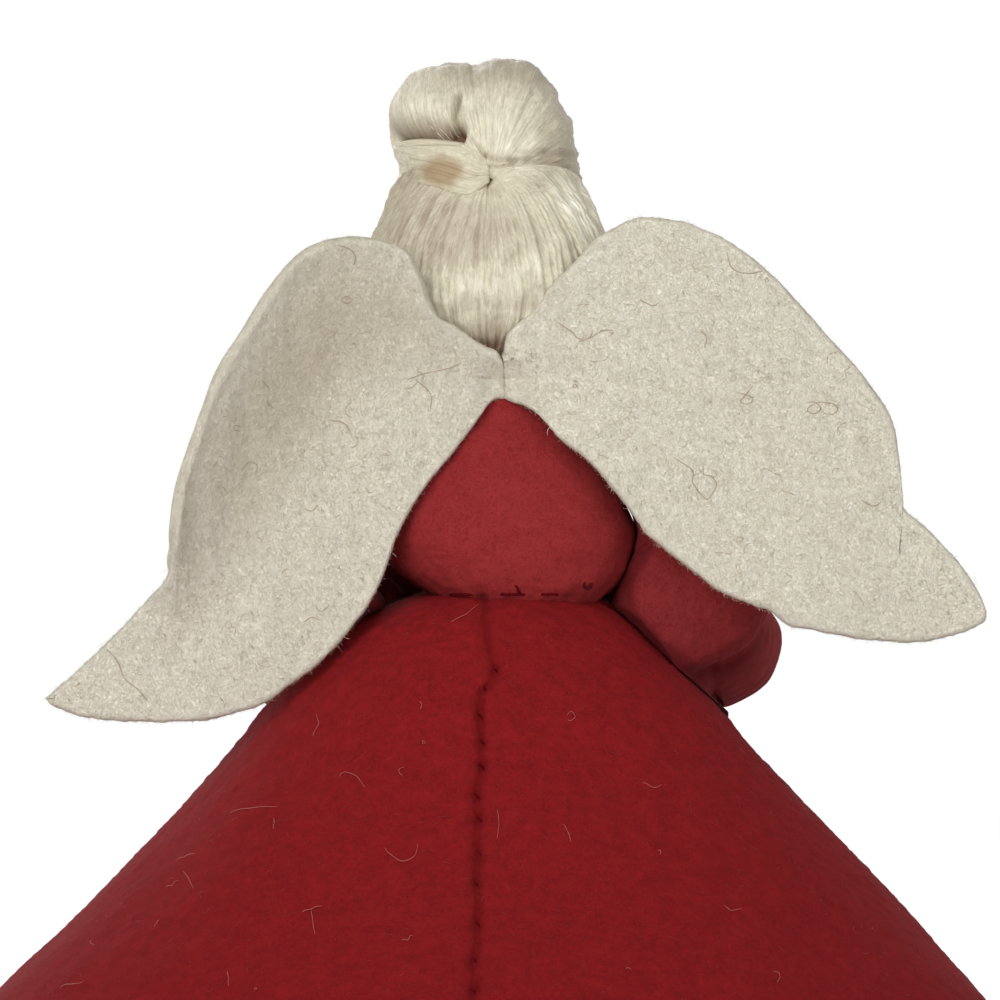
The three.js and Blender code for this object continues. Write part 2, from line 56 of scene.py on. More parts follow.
def smooth_line(points, count):
    """A smooth line through the points, cut at count equal distances. Each span is a cubic
    whose slope at a point is half the step between that point's neighbours."""
    p = np.asarray(points, float)
    p = np.vstack([2 * p[0] - p[1], p, 2 * p[-1] - p[-2]])
    t = np.linspace(0, 1, 240, endpoint=False)[:, None]
    spans = [
        b + t * (c - a) / 2 + t**2 * (2 * a - 5 * b + 4 * c - d) / 2 + t**3 * (3 * b - a - 3 * c + d) / 2
        for a, b, c, d in zip(p, p[1:], p[2:], p[3:])
    ]
    line = np.vstack([*spans, p[-2:-1]])
    along = np.append(0, np.cumsum(np.linalg.norm(np.diff(line, axis=0), axis=1)))
    at = np.linspace(0, along[-1], count)
    return np.stack([np.interp(at, along, line[:, k]) for k in range(p.shape[1])], -1)


def unit(vectors):
    """Vectors divided by their own length."""
    return vectors / np.maximum(np.linalg.norm(vectors, axis=-1, keepdims=True), 1e-9)


def face_normals(grid):
    """The cross product of a grid's steps along its rows and along its columns."""
    return unit(np.cross(np.gradient(grid, axis=0), np.gradient(grid, axis=1)))


def squares(rows, cols, wrap_rows=False, wrap_cols=False):
    """The corner numbers of a grid's squares. A wrapped grid closes on its first row or column."""
    i, j = np.meshgrid(np.arange(rows - (not wrap_rows)), np.arange(cols - (not wrap_cols)), indexing="ij")
    corners = [(i, j), (i, j + 1), (i + 1, j + 1), (i + 1, j)]
    return np.stack([(a % rows) * cols + b % cols for a, b in corners], -1).reshape(-1, 4)


def bell(off, width):
    """1 in the middle, where off is 0, and next to nothing beyond twice the width."""
    return np.exp(-((off / width) ** 2))


def part(value):
    """A value kept between 0 and 1."""
    return np.clip(value, 0, 1)


def dress(piece, body, material, replaced=()):
    """Gives a piece its material, the body that it rides on and the solids that it
    stands for."""
    piece.data.materials.append(material)
    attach(piece, body)
    if replaced:
        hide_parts(*replaced)


def place_object(name, data):
    """A new object in the scene."""
    piece = bpy.data.objects.new(name, data)
    bpy.context.scene.collection.objects.link(piece)
    return piece


def make_mesh(name, points, faces, marks=None, mark_faces=None, shade=None):
    """One mesh object from points in millimetres and a list of face arrays. If the volume
    that the faces close is negative they're turned round, so they point outwards. Shade is
    a share of painted shade for each point, kept as an attribute; below 0 a painted highlight."""
    volume = sum(
        np.einsum("ij,ij->", points[f[:, 0]], np.cross(points[f[:, k]], points[f[:, k + 1]]))
        for f in faces
        for k in range(1, f.shape[1] - 1)
    )
    if volume < 0:
        faces = [f[:, ::-1] for f in faces]
        mark_faces = mark_faces and [f[:, ::-1] for f in mark_faces]
    mesh = bpy.data.meshes.new(name)
    mesh.vertices.add(len(points))
    mesh.vertices.foreach_set("co", (points * MM).astype(np.float32).ravel())
    loops = np.concatenate([f.ravel() for f in faces])
    sizes = np.concatenate([np.full(len(f), f.shape[1]) for f in faces])
    mesh.loops.add(len(loops))
    mesh.loops.foreach_set("vertex_index", loops)
    mesh.polygons.add(len(sizes))
    mesh.polygons.foreach_set("loop_start", np.append(0, np.cumsum(sizes)[:-1]))
    mesh.polygons.foreach_set("loop_total", sizes)
    mesh.polygons.foreach_set("use_smooth", np.ones(len(sizes), bool))
    if marks is not None:
        layer = mesh.uv_layers.new(name="strand")
        corners = np.concatenate([f.ravel() for f in mark_faces])
        layer.data.foreach_set("uv", marks[corners].astype(np.float32).ravel())
    if shade is not None:
        layer = mesh.attributes.new("shade", "FLOAT", "POINT")
        layer.data.foreach_set("value", np.clip(shade, -1, 1).astype(np.float32).ravel())
    mesh.update(calc_edges=True)
    mesh.validate()
    return place_object(name, mesh)


def hoop(name, rings, shade=None):
    """A closed wall: each ring of points is joined to the next, and the last to the first."""
    faces = squares(*rings.shape[:2], wrap_rows=True, wrap_cols=True)
    return make_mesh(name, rings.reshape(-1, 3), [faces], shade=shade)


def oval(middle, wide, deep, angle, height, power=2):
    """Points of a level oval round a middle on the X axis, by the angle from the back towards
    +X. It is an ellipse at a power of 2 and squarer above it."""
    full = (np.abs(np.sin(angle)) ** power + np.abs(np.cos(angle)) ** power) ** (-1 / power)
    return np.stack(np.broadcast_arrays(middle + wide * full * np.sin(angle), deep * full * np.cos(angle), height), -1)


def lumps(points, seed, sizes):
    """Uneven felt as a sum of plane waves through the points. Each size gives a wave's
    length and its height, and nine waves of it run in random directions."""
    random = np.random.default_rng(seed)
    total = np.zeros(points.shape[:-1])
    for length, height in sizes:
        for direction, start in zip(unit(random.normal(size=(9, 3))), random.uniform(0, 6.3, 9)):
            stretch = random.uniform(0.8, 1.25)
            total += height / 2.1 * np.sin(points @ direction * 2 * np.pi / (length * stretch) + start)
    return total


def feed(socket, value):
    """Links a socket to another, or gives it a value."""
    if isinstance(value, bpy.types.NodeSocket):
        socket.id_data.links.new(value, socket)
    else:
        socket.default_value = value


def new_node(tree, kind, values=None, **settings):
    """A node with its settings, and each named input either linked or given its value."""
    node = tree.nodes.new(kind)
    for key, value in settings.items():
        setattr(node, key, value)
    for key, value in (values or {}).items():
        feed(node.inputs[key], value)
    return node


def sums(tree, operation, *values, clamp=False):
    """The output of a Math node."""
    return new_node(
        tree, "ShaderNodeMath", dict(enumerate(values)), operation=operation, use_clamp=clamp
    ).outputs[0]


def weighted(tree, *terms):
    """The sum of values, each times its weight."""
    total, *others = (sums(tree, "MULTIPLY", value, weight) for value, weight in terms)
    for other in others:
        total = sums(tree, "ADD", total, other)
    return total


def blend_colours(tree, share, first, second):
    """The output of a Mix node on two colours."""
    return new_node(tree, "ShaderNodeMix", {0: share, 6: first, 7: second}, data_type="RGBA").outputs[2]


def ramp_colours(tree, value, *stops):
    """A colour that runs from stop to stop; each is a place from 0 to 1 and a colour."""
    ramp = new_node(tree, "ShaderNodeValToRGB", {"Fac": value})
    ends = ramp.color_ramp.elements
    for end, stop in zip(ends, (stops[0], stops[-1])):
        end.position, end.color = stop
    for place, middle in stops[1:-1]:
        ends.new(place).color = middle
    return ramp.outputs[0]


def map_range(tree, value, low, high, to_low=0.0, to_high=1.0, steps="LINEAR"):
    """A value carried from one range to another."""
    ends = {"From Min": low, "From Max": high, "To Min": to_low, "To Max": to_high}
    return new_node(tree, "ShaderNodeMapRange", {"Value": value, **ends}, interpolation_type=steps).outputs[0]


def object_place(tree):
    """Object coordinates, which ride with the piece."""
    return new_node(tree, "ShaderNodeTexCoord").outputs["Object"]


def noise(tree, place, scale, detail, bend=0.0):
    """The output of a Noise Texture."""
    values = {"Vector": place, "Scale": scale, "Detail": detail, "Distortion": bend}
    return new_node(tree, "ShaderNodeTexNoise", values).outputs[0]


def colour(red, green, blue):
    """A colour written from 0 to 255, as light values."""
    c = np.array([red, green, blue]) / 255
    light = np.where(c <= 0.04045, c / 12.92, ((c + 0.055) / 1.055) ** 2.4)
    return (*light, 1)


def new_material(name):
    """An empty node material with its shader and output."""
    material = bpy.data.materials.new(name)
    material.use_nodes = True
    tree = material.node_tree
    return material, tree, tree.nodes["Principled BSDF"]


def finish(shader, base, height, strength, distance, plain):
    """Gives a shader its colour, its bump, and its plain values by name."""
    tree = shader.id_data
    lift = new_node(tree, "ShaderNodeBump", {"Height": height, "Strength": strength, "Distance": distance})
    for key, value in {"Base Color": base, "Normal": lift.outputs[0], **plain}.items():
        feed(shader.inputs[key], value)


def new_group(name, inputs):
    """A shader node group with float inputs, and its inputs' sockets."""
    tree = bpy.data.node_groups.new(name, "ShaderNodeTree")
    for key, value in inputs.items():
        tree.interface.new_socket(name=key, in_out="INPUT", socket_type="NodeSocketFloat").default_value = value
    return tree, tree.nodes.new("NodeGroupInput").outputs


def put_out(tree, values):
    """Gives a group its float outputs."""
    for key in values:
        tree.interface.new_socket(name=key, in_out="OUTPUT", socket_type="NodeSocketFloat")
    ends = tree.nodes.new("NodeGroupOutput").inputs
    for key, value in values.items():
        feed(ends[key], value)


def wool_group():
    """Wool felt on Object coordinates: soft clumps, two layers of curled fibres, which are
    the thin bands where a strongly bent noise passes its middle, and a fine grain."""
    tree, given = new_group("wool felt", {"Clump per mm": 1.0, "Fibre per mm": 1.0})
    scaled = new_node(tree, "ShaderNodeMapping", {"Vector": object_place(tree), "Scale": (1000, 1000, 1000)})
    millimetres = scaled.outputs[0]

    def cloud(scale, detail, bend, offset):
        at = new_node(tree, "ShaderNodeMapping", {"Vector": millimetres, "Location": (offset, offset, offset)})
        return noise(tree, at.outputs[0], scale, detail, bend)

    def strands(share, offset):
        bent = cloud(sums(tree, "MULTIPLY", given["Fibre per mm"], share), 2.0, 3.2, offset)
        middle = sums(tree, "ABSOLUTE", sums(tree, "SUBTRACT", bent, 0.5))
        return sums(tree, "SUBTRACT", 1.0, sums(tree, "MULTIPLY", middle, 9.0), clamp=True)

    coarse = cloud(sums(tree, "MULTIPLY", given["Clump per mm"], 0.32), 3.0, 0.4, 11.0)
    fine = cloud(given["Clump per mm"], 5.0, 0.9, 3.0)
    fibre = sums(tree, "MAXIMUM", strands(0.55, 5.0), sums(tree, "MULTIPLY", strands(1.3, 17.0), 0.8))
    grain = cloud(7.0, 2.0, 0.0, 1.0)
    put_out(tree, {
        "Clump": weighted(tree, (coarse, 0.5), (fine, 0.5)),
        "Fibre": fibre,
        "Height": weighted(tree, (fine, 1.1), (fibre, 0.5), (grain, 0.3)),
    })
    return tree


wool = wool_group()


def place_wool(tree, clump_per_mm, fibre_per_mm):
    """The wool group's outputs, at these sizes."""
    sizes = {"Clump per mm": clump_per_mm, "Fibre per mm": fibre_per_mm}
    return new_node(tree, "ShaderNodeGroup", sizes, node_tree=wool).outputs


def felt_material(name, dark, middle, light, fibre, painted_shade, per_mm=(1.3, 0.9), bump=0.35, sheen=0.06):
    """Felt: three shades by the wool group's clumps, pale fibres over them, the group's
    height as bump, and the faint glow at a grazing angle that loose wool has. The mesh's
    own shade attribute mixes in the painted shade colour, put mostly where shade falls in a
    seam, crease or hollow."""
    material, tree, shader = new_material(name)
    felt = place_wool(tree, *per_mm)
    clumps = ramp_colours(tree, felt["Clump"], (0.36, dark), (0.5, middle), (0.64, light))
    mixed = blend_colours(tree, sums(tree, "MULTIPLY", felt["Fibre"], 0.5), clumps, fibre)
    # Painted shade: the mesh's shade attribute mixes in the darker colour.
    deep = new_node(tree, "ShaderNodeAttribute", attribute_name="shade").outputs["Fac"]
    finish(shader, blend_colours(tree, deep, mixed, painted_shade), felt["Height"], bump, 0.00016, {
        "Roughness": 0.95, "Specular IOR Level": 0.12,
        "Sheen Weight": sheen, "Sheen Roughness": 0.5, "Sheen Tint": fibre,
    })
    return material


red_felt = felt_material(
    "red_felt",
    dark=colour(101, 11, 14),
    middle=colour(115, 14, 18),
    light=colour(128, 19, 23),
    fibre=colour(136, 27, 30),
    painted_shade=colour(80, 3, 8),
)

WAIST = 74.6
skirt_line = np.array([  # radius, height
    [86.3, 0], [68.2, 20], [60.9, 27.5], [54.1, 34.6], [47.0, 42.0], [41.4, 47.9], [37.9, 51.7],
    [35.4, 54.6], [32.9, 57.9], [27.9, 63.2], [24.1, 66.9], [20.6, 70.2], [17.7, 72.2], [15.6, 73.4],
    [13.8, 74.2], [11.4, 74.8], [9.0, 75.0],
])
seam_line = np.array([  # height, along X
    [0, 2.6], [20.4, 2.45], [24.8, 2.24], [29.7, 1.8], [35.3, 1.96], [43.8, 1.8], [47.7, 1.96],
    [51.8, 1.26], [58.1, 1.5], [61.4, 1.35], [63.2, -0.3], [64.6, -0.7], [66.5, -0.1], [68.6, 0.45], [74.2, 1.0],
])
stitch_heights = np.array([
    74.6, 64.5, 61.9, 58.2, 54.6, 51.2, 47.2, 44.0, 39.5, 35.1, 29.8, 24.9, 20.7, 16.4, 12.2, 8.1, 4.3,
])
lean_line = smooth_line([  # height, along X
    [0, 0.6], [20, 0.45], [30, -0.1], [38, -0.5], [45, -0.65], [55, -0.4], [60, 0.05], [64, 0.25], [68, 0.15],
    [70, 0.0], [72.5, -0.8], [74.6, -1.6], [76, -1.8],
], 300)


def skirt_centre(height):
    """How far the skirt leans along X at a height, from the table."""
    return np.interp(height, lean_line[:, 0], lean_line[:, 1])


def skirt_radius(height):
    """How far out the skirt's felt is at a height, from the table."""
    return np.interp(height, skirt_line[:, 1], skirt_line[:, 0])


def seam_side(height):
    """Where the back seam runs, along X, with the small wander of hand sewing."""
    return np.interp(height, seam_line[:, 0], seam_line[:, 1]) + 0.13 * np.sin(height * 1.1) * (height < 60)


def seam_depth(height, beside):
    """How deep the felt dips beside the seam: a narrow valley, a pit at each stitch, and the
    edges of the two cut ends standing up a little on each side."""
    pits = bell(height[..., None] - stitch_heights, 0.8).sum(-1)
    valley = 0.5 * bell(beside, 0.5) + 0.4 * bell(beside, 1.2)
    valley += 0.55 * pits * bell(beside, 0.8)
    return valley - 0.14 * bell(np.abs(beside) - 2.0, 0.9)


def skirt_point(radius, height, angle):
    """A point of the skirt's outside, and how much darker its colour is: painted shade down in the seam's valley and
    pits, and darker towards the hem.
    Its radius wavers a little with the angle and height, and drops along the seam."""
    centre = skirt_centre(height)
    beside = np.where(np.cos(angle) > 0, centre + radius * np.sin(angle) - seam_side(height), 99)
    waver = 0.2 * np.sin(5 * angle + height / 9) + 0.14 * np.sin(11 * angle - height / 5)
    waver += 0.08 * np.sin(23 * angle + height / 2.4)
    depth = seam_depth(height, beside)
    out = radius + waver * np.clip((WAIST - height) / 12, 0.15, 1) - depth
    # Painted shade down in the seam's valley and pits; the colour is also darker towards the hem.
    shade = np.clip(depth * 0.42, 0, 0.5) + 0.16 * part((56 - height) / 40)
    return oval(centre, out, out, angle, height), shade


def cone_point(line, angle):
    """Points of a plain round cone on the skirt's leaning middle, by its side line."""
    return oval(skirt_centre(line[:, 1]), line[:, 0], line[:, 0], angle[:, None], line[:, 1])


SKIRT_FELT = 1.5
LEVEL_THROUGH = 1.36  # how much farther it is through the slanting felt on the level
near_seam = np.linspace(-0.2, 0.2, 150)
turns = np.concatenate([near_seam, np.linspace(0.2, 2 * np.pi - 0.2, 190)[1:-1]])
wall = smooth_line(skirt_line, 190)
# The outside's painted shade for each point; the inner wall takes none.
outer, painted_shade = skirt_point(*np.broadcast_arrays(wall[:, 0], wall[:, 1], turns[:, None]))
outer += face_normals(outer) * -lumps(outer, 2, [(2.6, 0.05), (1.2, 0.035)])[..., None]
inner_line = wall[::-6] - [SKIRT_FELT * LEVEL_THROUGH, 0]
inner_line[:, 0] = np.maximum(inner_line[:, 0], 6)
inner_line[:, 1] = np.clip(inner_line[:, 1], 0, WAIST - 0.9)
inner = cone_point(inner_line, turns)
painted_shade = np.concatenate([painted_shade, np.zeros(inner.shape[:2])], 1)
skirt = hoop("skirt_felt", np.concatenate([outer, inner], 1), painted_shade)
dress(skirt, "doll", red_felt, ["skirt"])

# Card liner: a thin cone of plain card inside the straight part of the skirt, which keeps
# it stiff. Its edge shows only from below.

LINER_CARD, LINER_FROM, LINER_TO = 0.8, 2.5, 58.0


def card_material():
    """Plain card: short pale and dark specks of pulp in a warm grey-brown."""
    material, tree, shader = new_material("plain_card")
    pulp = noise(tree, object_place(tree), 1800.0, 6.0)
    base = ramp_colours(tree, pulp, (0.35, colour(158, 140, 112)), (0.65, colour(196, 180, 150)))
    finish(shader, base, pulp, 0.3, 0.0001, {"Roughness": 0.85})
    return material


liner_heights = np.linspace(LINER_FROM, LINER_TO, 14)
liner_outer = skirt_radius(liner_heights) - (SKIRT_FELT + 0.5) * LEVEL_THROUGH
liner_side = np.concatenate([
    np.stack([liner_outer, liner_heights], -1),
    np.stack([liner_outer - LINER_CARD * LEVEL_THROUGH, liner_heights], -1)[::-1],
])
liner = hoop("skirt_card", cone_point(liner_side, np.linspace(0, 2 * np.pi, 120, endpoint=False)))
dress(liner, "doll", card_material(), ["skirt_liner"])

# Seam stitches: short whip stitches of dark red cotton that cross the valley, each sunk in
# its pit.


def thread_material(name, deep, pale):
    """Twisted cotton: two shades in fine slanting bands, with a soft gloss."""
    material, tree, shader = new_material(name)
    values = {"Vector": object_place(tree), "Scale": 900.0, "Distortion": 3.0}
    twist = new_node(tree, "ShaderNodeTexWave", values, bands_direction="DIAGONAL").outputs[1]
    base = blend_colours(tree, twist, deep, pale)
    finish(shader, base, twist, 0.5, 0.00005, {"Roughness": 0.95, "Specular IOR Level": 0.04})
    return material


def fans(rows, cols):
    """Triangles that close the first and the last ring of a tube, each on a point of its own.
    The two points follow those of the rings."""
    k, after = np.arange(cols), (np.arange(cols) + 1) % cols
    first, last = np.full(cols, rows * cols), (rows - 1) * cols
    return np.concatenate([np.stack([first, after, k], -1), np.stack([first + 1, k + last, after + last], -1)])


def threads(name, lines, radii, sides=6):
    """Closed tubes along a stack of lines [tubes, points, 3]. Each ring stands square to its
    line, its radius comes from radii [tubes, points], and each end closes on one point."""
    lines = np.asarray(lines, float)
    count, steps, _ = lines.shape
    along = unit(np.gradient(lines, axis=1))
    helper = np.where(np.abs(along[..., 2:3]) > 0.8, [[1.0, 0, 0]], [[0, 0, 1.0]])
    side = unit(np.cross(along, helper))
    up = np.cross(side, along)
    turn = np.linspace(0, 2 * np.pi, sides, endpoint=False)
    ring = side[:, :, None] * np.cos(turn)[:, None] + up[:, :, None] * np.sin(turn)[:, None]
    points = lines[:, :, None] + ring * np.broadcast_to(radii, (count, steps))[:, :, None, None]
    everything = np.concatenate([points.reshape(count, -1, 3), lines[:, [0, -1]]], 1)
    start = (np.arange(count) * everything.shape[1])[:, None, None]
    faces, caps = squares(steps, sides, wrap_cols=True), fans(steps, sides)
    return make_mesh(name, everything.reshape(-1, 3), [(faces + start).reshape(-1, 4), (caps + start).reshape(-1, 3)])


red_thread = thread_material("dark_red_thread", colour(72, 4, 9), colour(94, 9, 14))


def skirt_out(angle):
    """The way straight off the skirt's side."""
    return oval(0, 0.74, 0.74, angle, 0.67)


def skirt_place(beside, height, lift):
    """A point over the skirt's back, so far beside the seam and above the felt."""
    radius = skirt_radius(height)
    angle = np.arcsin((seam_side(height) + beside - skirt_centre(height)) / radius)
    return skirt_point(radius, height, angle)[0] + skirt_out(angle) * np.asarray(lift)[..., None]


stitch_share = np.linspace(-1, 1, 7)
sewn = stitch_heights[1:, None]
seam_stitches = threads(
    "seam_stitches",
    skirt_place(stitch_share * 0.6, sewn + stitch_share * 0.45, 0.06 - 0.5 * stitch_share**4 + 0 * sewn),
    0.15,
)
dress(seam_stitches, "doll", red_thread, ["skirt_seam_thread"])

# Bodice: a small bag of the same felt, stuffed with wool wadding and gathered into the
# skirt's top, so it bulges over the waist and draws in to the neck.

bodice_rows = np.array([  # height, half width, where its middle is along X, half depth
    [73.6, 10.0, -4.5, 12.9], [74.6, 11.8, -4.0, 13.7], [75.6, 13.3, -3.9, 14.3], [77.0, 15.0, -3.5, 14.9],
    [79.5, 17.0, -2.8, 15.5], [82.4, 18.1, -2.5, 15.9], [86.0, 17.6, -2.1, 15.5], [91.0, 15.6, -1.4, 14.0],
    [96.0, 13.1, -0.9, 11.8], [101.0, 10.5, -0.4, 9.4], [105.5, 8.0, 0.0, 7.3], [109.0, 6.0, 0.2, 5.6],
    [110.4, 5.0, 0.2, 4.7],
])
bodice_side = smooth_line(bodice_rows, 220)
BODICE_POWER = 2.4


def bodice_share(height):
    """The share of the way up the bodice's side at which it reaches a height."""
    return np.interp(height, bodice_side[:, 0], np.linspace(0, 1, len(bodice_side)))


def bodice_point(share, angle):
    """A point of the bodice by its share of the way up and the angle from the back. Small
    gathers run up from the waist and fade out within 5 mm, and the stuffing shows as soft
    dents."""
    last = len(bodice_side) - 1
    row = part(share) * last
    height, wide, middle, deep = (np.interp(row, np.arange(last + 1), column) for column in bodice_side.T)
    gather = 0.16 * np.cos(17 * angle + 1) + 0.1 * np.cos(29 * angle + 2)
    gather *= bell(height - 75.2, 3.0) * np.clip(angle**2 * 4, 0.3, 1)
    dent = 0.25 * np.sin(3 * angle + height / 5) + 0.16 * np.sin(7 * angle - height / 3)
    dent = dent * np.abs(np.cos(angle)) * part((height - 75) / 5) * part((110 - height) / 8)
    out = gather + dent
    return oval(middle, wide + out, deep + out, angle, height, BODICE_POWER)


def loft(name, rings, shade=None):
    """A closed form through rings of points, with a fan of faces at each end."""
    points = np.concatenate([rings.reshape(-1, 3), rings[[0, -1]].mean(1)])
    if shade is not None:
        shade = np.append(shade.ravel(), [shade[0].mean(), shade[-1].mean()])
    faces = [squares(*rings.shape[:2], wrap_cols=True), fans(*rings.shape[:2])]
    return make_mesh(name, points, faces, shade=shade)


turns = np.linspace(-np.pi, np.pi, 210, endpoint=False)
bag = bodice_point(*np.broadcast_arrays(np.linspace(0, 1, 150)[:, None], turns))
seam_end = bell(bag[..., 0] - 1.0, 0.7) * bell(bag[..., 2] - 74.6, 1.5) * (bag[..., 1] > 0)
tuck = bell(bag[..., 2] - 74.9, 0.9)
bag[..., 1] -= 0.7 * seam_end
under_wings = bell(bag[..., 0] + 2.0, 3.0) * bell(bag[..., 2] - 104.6, 3.2) * (bag[..., 1] > 0)
bag[..., 1] += 1.1 * under_wings
bag += face_normals(bag) * lumps(bag, 4, [(5.0, 0.09), (1.5, 0.03)])[..., None]
# Painted shade: a little in the tuck along the waist, and more where the skirt's seam ends under the bodice.
bodice = loft("bodice_felt", bag, shade=0.05 * tuck + 0.4 * seam_end)
bodice_felt = felt_material(
    "bodice_felt",
    dark=colour(115, 26, 28),
    middle=colour(124, 30, 32),
    light=colour(132, 35, 37),
    fibre=colour(148, 52, 52),
    painted_shade=colour(84, 8, 13),
    bump=0.25,
    sheen=0.1,
)
dress(bodice, "doll", bodice_felt, ["bodice", "bodice_stuffing"])

# Waist stitches: a running stitch of dark red cotton where the bodice meets the skirt, and
# the small open ring of thread that ends it.


def round_waist(angle, height, lift):
    """Points round the bodice near its lower edge, so far off its felt."""
    at = bodice_point(*np.broadcast_arrays(bodice_share(height), angle))
    return at + oval(0, 1, 1, angle, 0) * np.asarray(lift)[..., None]


stitch_run = np.linspace(0, 1, 9)
sunk = 0.2 - 0.7 * (2 * stitch_run - 1) ** 4
back_stitches = np.array([[5.6, 1.6], [-1.5, -5.4], [-7.3, -9.9], [-4.3, -4.1]])  # each from and to, along X
back_x = back_stitches[:, :1] + (back_stitches[:, 1:] - back_stitches[:, :1]) * stitch_run
back_height = 75.0 + np.array([[0.0], [0.0], [0.0], [1.0]]) * np.linspace(-0.1, 1.3, 9)
front_angle = np.linspace(1.95, 3.95, 6)[:, None] + 0.27 * stitch_run
back_lines = round_waist(np.arcsin((back_x + 4.3) / 12.6), back_height, sunk)
front_lines = round_waist(front_angle, 75.0 + 0 * front_angle, sunk)
waist_stitches = threads("waist_stitches", np.concatenate([back_lines, front_lines]), 0.19)
dress(waist_stitches, "doll", red_thread, ["waist_thread"])

knot_turn = np.linspace(-0.3, 4.9, 26)
knot_at = bodice_point(np.array(bodice_share(76.4)), np.array(-0.69))
knot_line = knot_at + [-0.15, 0.12, 0] + 0.6 * (
    np.cos(knot_turn)[:, None] * unit(np.array([-0.85, -0.45, 0])) - np.sin(knot_turn)[:, None] * [0, 0, 1]
)
knot = threads("waist_ring", knot_line[None], 0.18)
maroon_thread = thread_material("maroon_thread", colour(58, 12, 18), colour(78, 20, 26))
dress(knot, "doll", maroon_thread, ["waist_knot"])

# Neck peg and head: a turned beech peg, and a ball covered in smooth skin-coloured felt with
# a small nose, two stitched eyes, a stitched smile and rubbed pink cheeks.


def beech_material():
    """Turned beech: fine straight grain along the peg with short dark flecks."""
    material, tree, shader = new_material("bare_beech")
    along = new_node(tree, "ShaderNodeMapping", {"Vector": object_place(tree), "Scale": (1500, 1500, 90)}).outputs[0]
    grain = noise(tree, along, 1.0, 5.0)
    base = blend_colours(tree, grain, colour(176, 136, 88), colour(214, 180, 132))
    finish(shader, base, grain, 0.2, 0.00005, {"Roughness": 0.6})
    return material


def finish_node(name, material):
    """A solid that stays as it is, with this material."""
    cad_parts[name].data.materials.clear()
    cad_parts[name].data.materials.append(material)


finish_node("neck_peg", beech_material())

HEAD_CENTRE, HEAD_RADIUS = np.array([0.2, 0, 132.0]), 11.8


def vectors(tree, operation, *values):
    """The outputs of a Vector Math node."""
    return new_node(tree, "ShaderNodeVectorMath", dict(enumerate(values)), operation=operation).outputs


def skin_material(cheeks):
    """Smooth felt in a skin shade. Two round soft pink patches are measured on the ball from
    the middle of each cheek."""
    material, tree, shader = new_material("skin_felt")
    felt = place_wool(tree, 1.8, 1.5)
    base = blend_colours(tree, felt["Clump"], colour(214, 168, 138), colour(236, 200, 174))
    base = blend_colours(tree, sums(tree, "MULTIPLY", felt["Fibre"], 0.25), base, colour(244, 214, 192))
    place = object_place(tree)
    for cheek in cheeks:
        away = vectors(tree, "DISTANCE", place, tuple(cheek * MM))["Value"]
        pink = map_range(tree, away, 0.0036, 0.0008, to_high=0.55, steps="SMOOTHSTEP")
        base = blend_colours(tree, pink, base, colour(212, 108, 96))
    finish(shader, base, felt["Height"], 0.25, 0.0001, {"Roughness": 0.85, "Sheen Weight": 0.25})
    return material


def on_face(across, up, lift=0.0):
    """A point of the face, across and up from the ball's middle, and so far off its skin."""
    radius = HEAD_RADIUS + lift
    deep = np.sqrt(radius**2 - np.square(across) - np.square(up))
    return HEAD_CENTRE + np.stack([across + 0 * deep, -deep, up + 0 * deep], -1)


def globe(polar_count, round_count, pole):
    """Points of a ball of radius 1 on its own grid of angles, from the top down and round from
    the front; the grid stops this close to the poles."""
    polar = np.linspace(pole, np.pi - pole, polar_count)[:, None]
    about = np.linspace(0, 2 * np.pi, round_count, endpoint=False)
    x, y = np.sin(polar) * np.sin(about), -np.sin(polar) * np.cos(about)
    return np.stack(np.broadcast_arrays(x, y, np.cos(polar)), -1)


ball = globe(90, 120, 0.01)
across, up = ball[..., 0] * HEAD_RADIUS, ball[..., 2] * HEAD_RADIUS
front = ball[..., 1] < 0
swell = 1.2 * np.exp(-(across**2 + (up + 1.4) ** 2) / 1.7) * front
swell += 0.25 * np.exp(-((np.abs(across) - 5.2) ** 2 + (up + 3.4) ** 2) / 9) * front
swell -= 0.35 * np.exp(-((np.abs(across) - 3.9) ** 2 / 4 + (up - 0.9) ** 2 / 3)) * front
head = loft("head_ball", HEAD_CENTRE + ball * (HEAD_RADIUS + swell)[..., None])
skin = skin_material([on_face(5.4, -3.2), on_face(-5.4, -3.2)])
dress(head, "doll", skin, ["head"])

dark_thread = thread_material("dark_thread", colour(40, 14, 14), colour(62, 24, 24))
knot_round = np.linspace(0, 2 * np.pi, 19)
turn_out = np.linspace(0.1, 0.75, 3)[:, None]
for name, side in (("left_eye", 1), ("right_eye", -1)):
    across, up = 3.9 * side + turn_out * np.cos(knot_round), 0.9 + turn_out * np.sin(knot_round)
    coil = on_face(across, up, 0.35 - turn_out * 0.2)
    eye = threads(f"{name}_stitch", coil, 0.27)
    dress(eye, "doll", dark_thread, [name])

rosy_thread = thread_material("rosy_thread", colour(140, 52, 56), colour(176, 82, 84))
smile = np.linspace(-1, 1, 17)
mouth = threads("mouth_stitch", on_face(2.0 * smile, -4.9 + 0.7 * smile**2, 0.12 - 0.3 * smile**8)[None], 0.24)
dress(mouth, "doll", rosy_thread, ["mouth"])

# Hair: silky pale floss. It lies over the crown from the face to the back of the head, where
# it is drawn to one point, and falls from there in a fan to the nape.


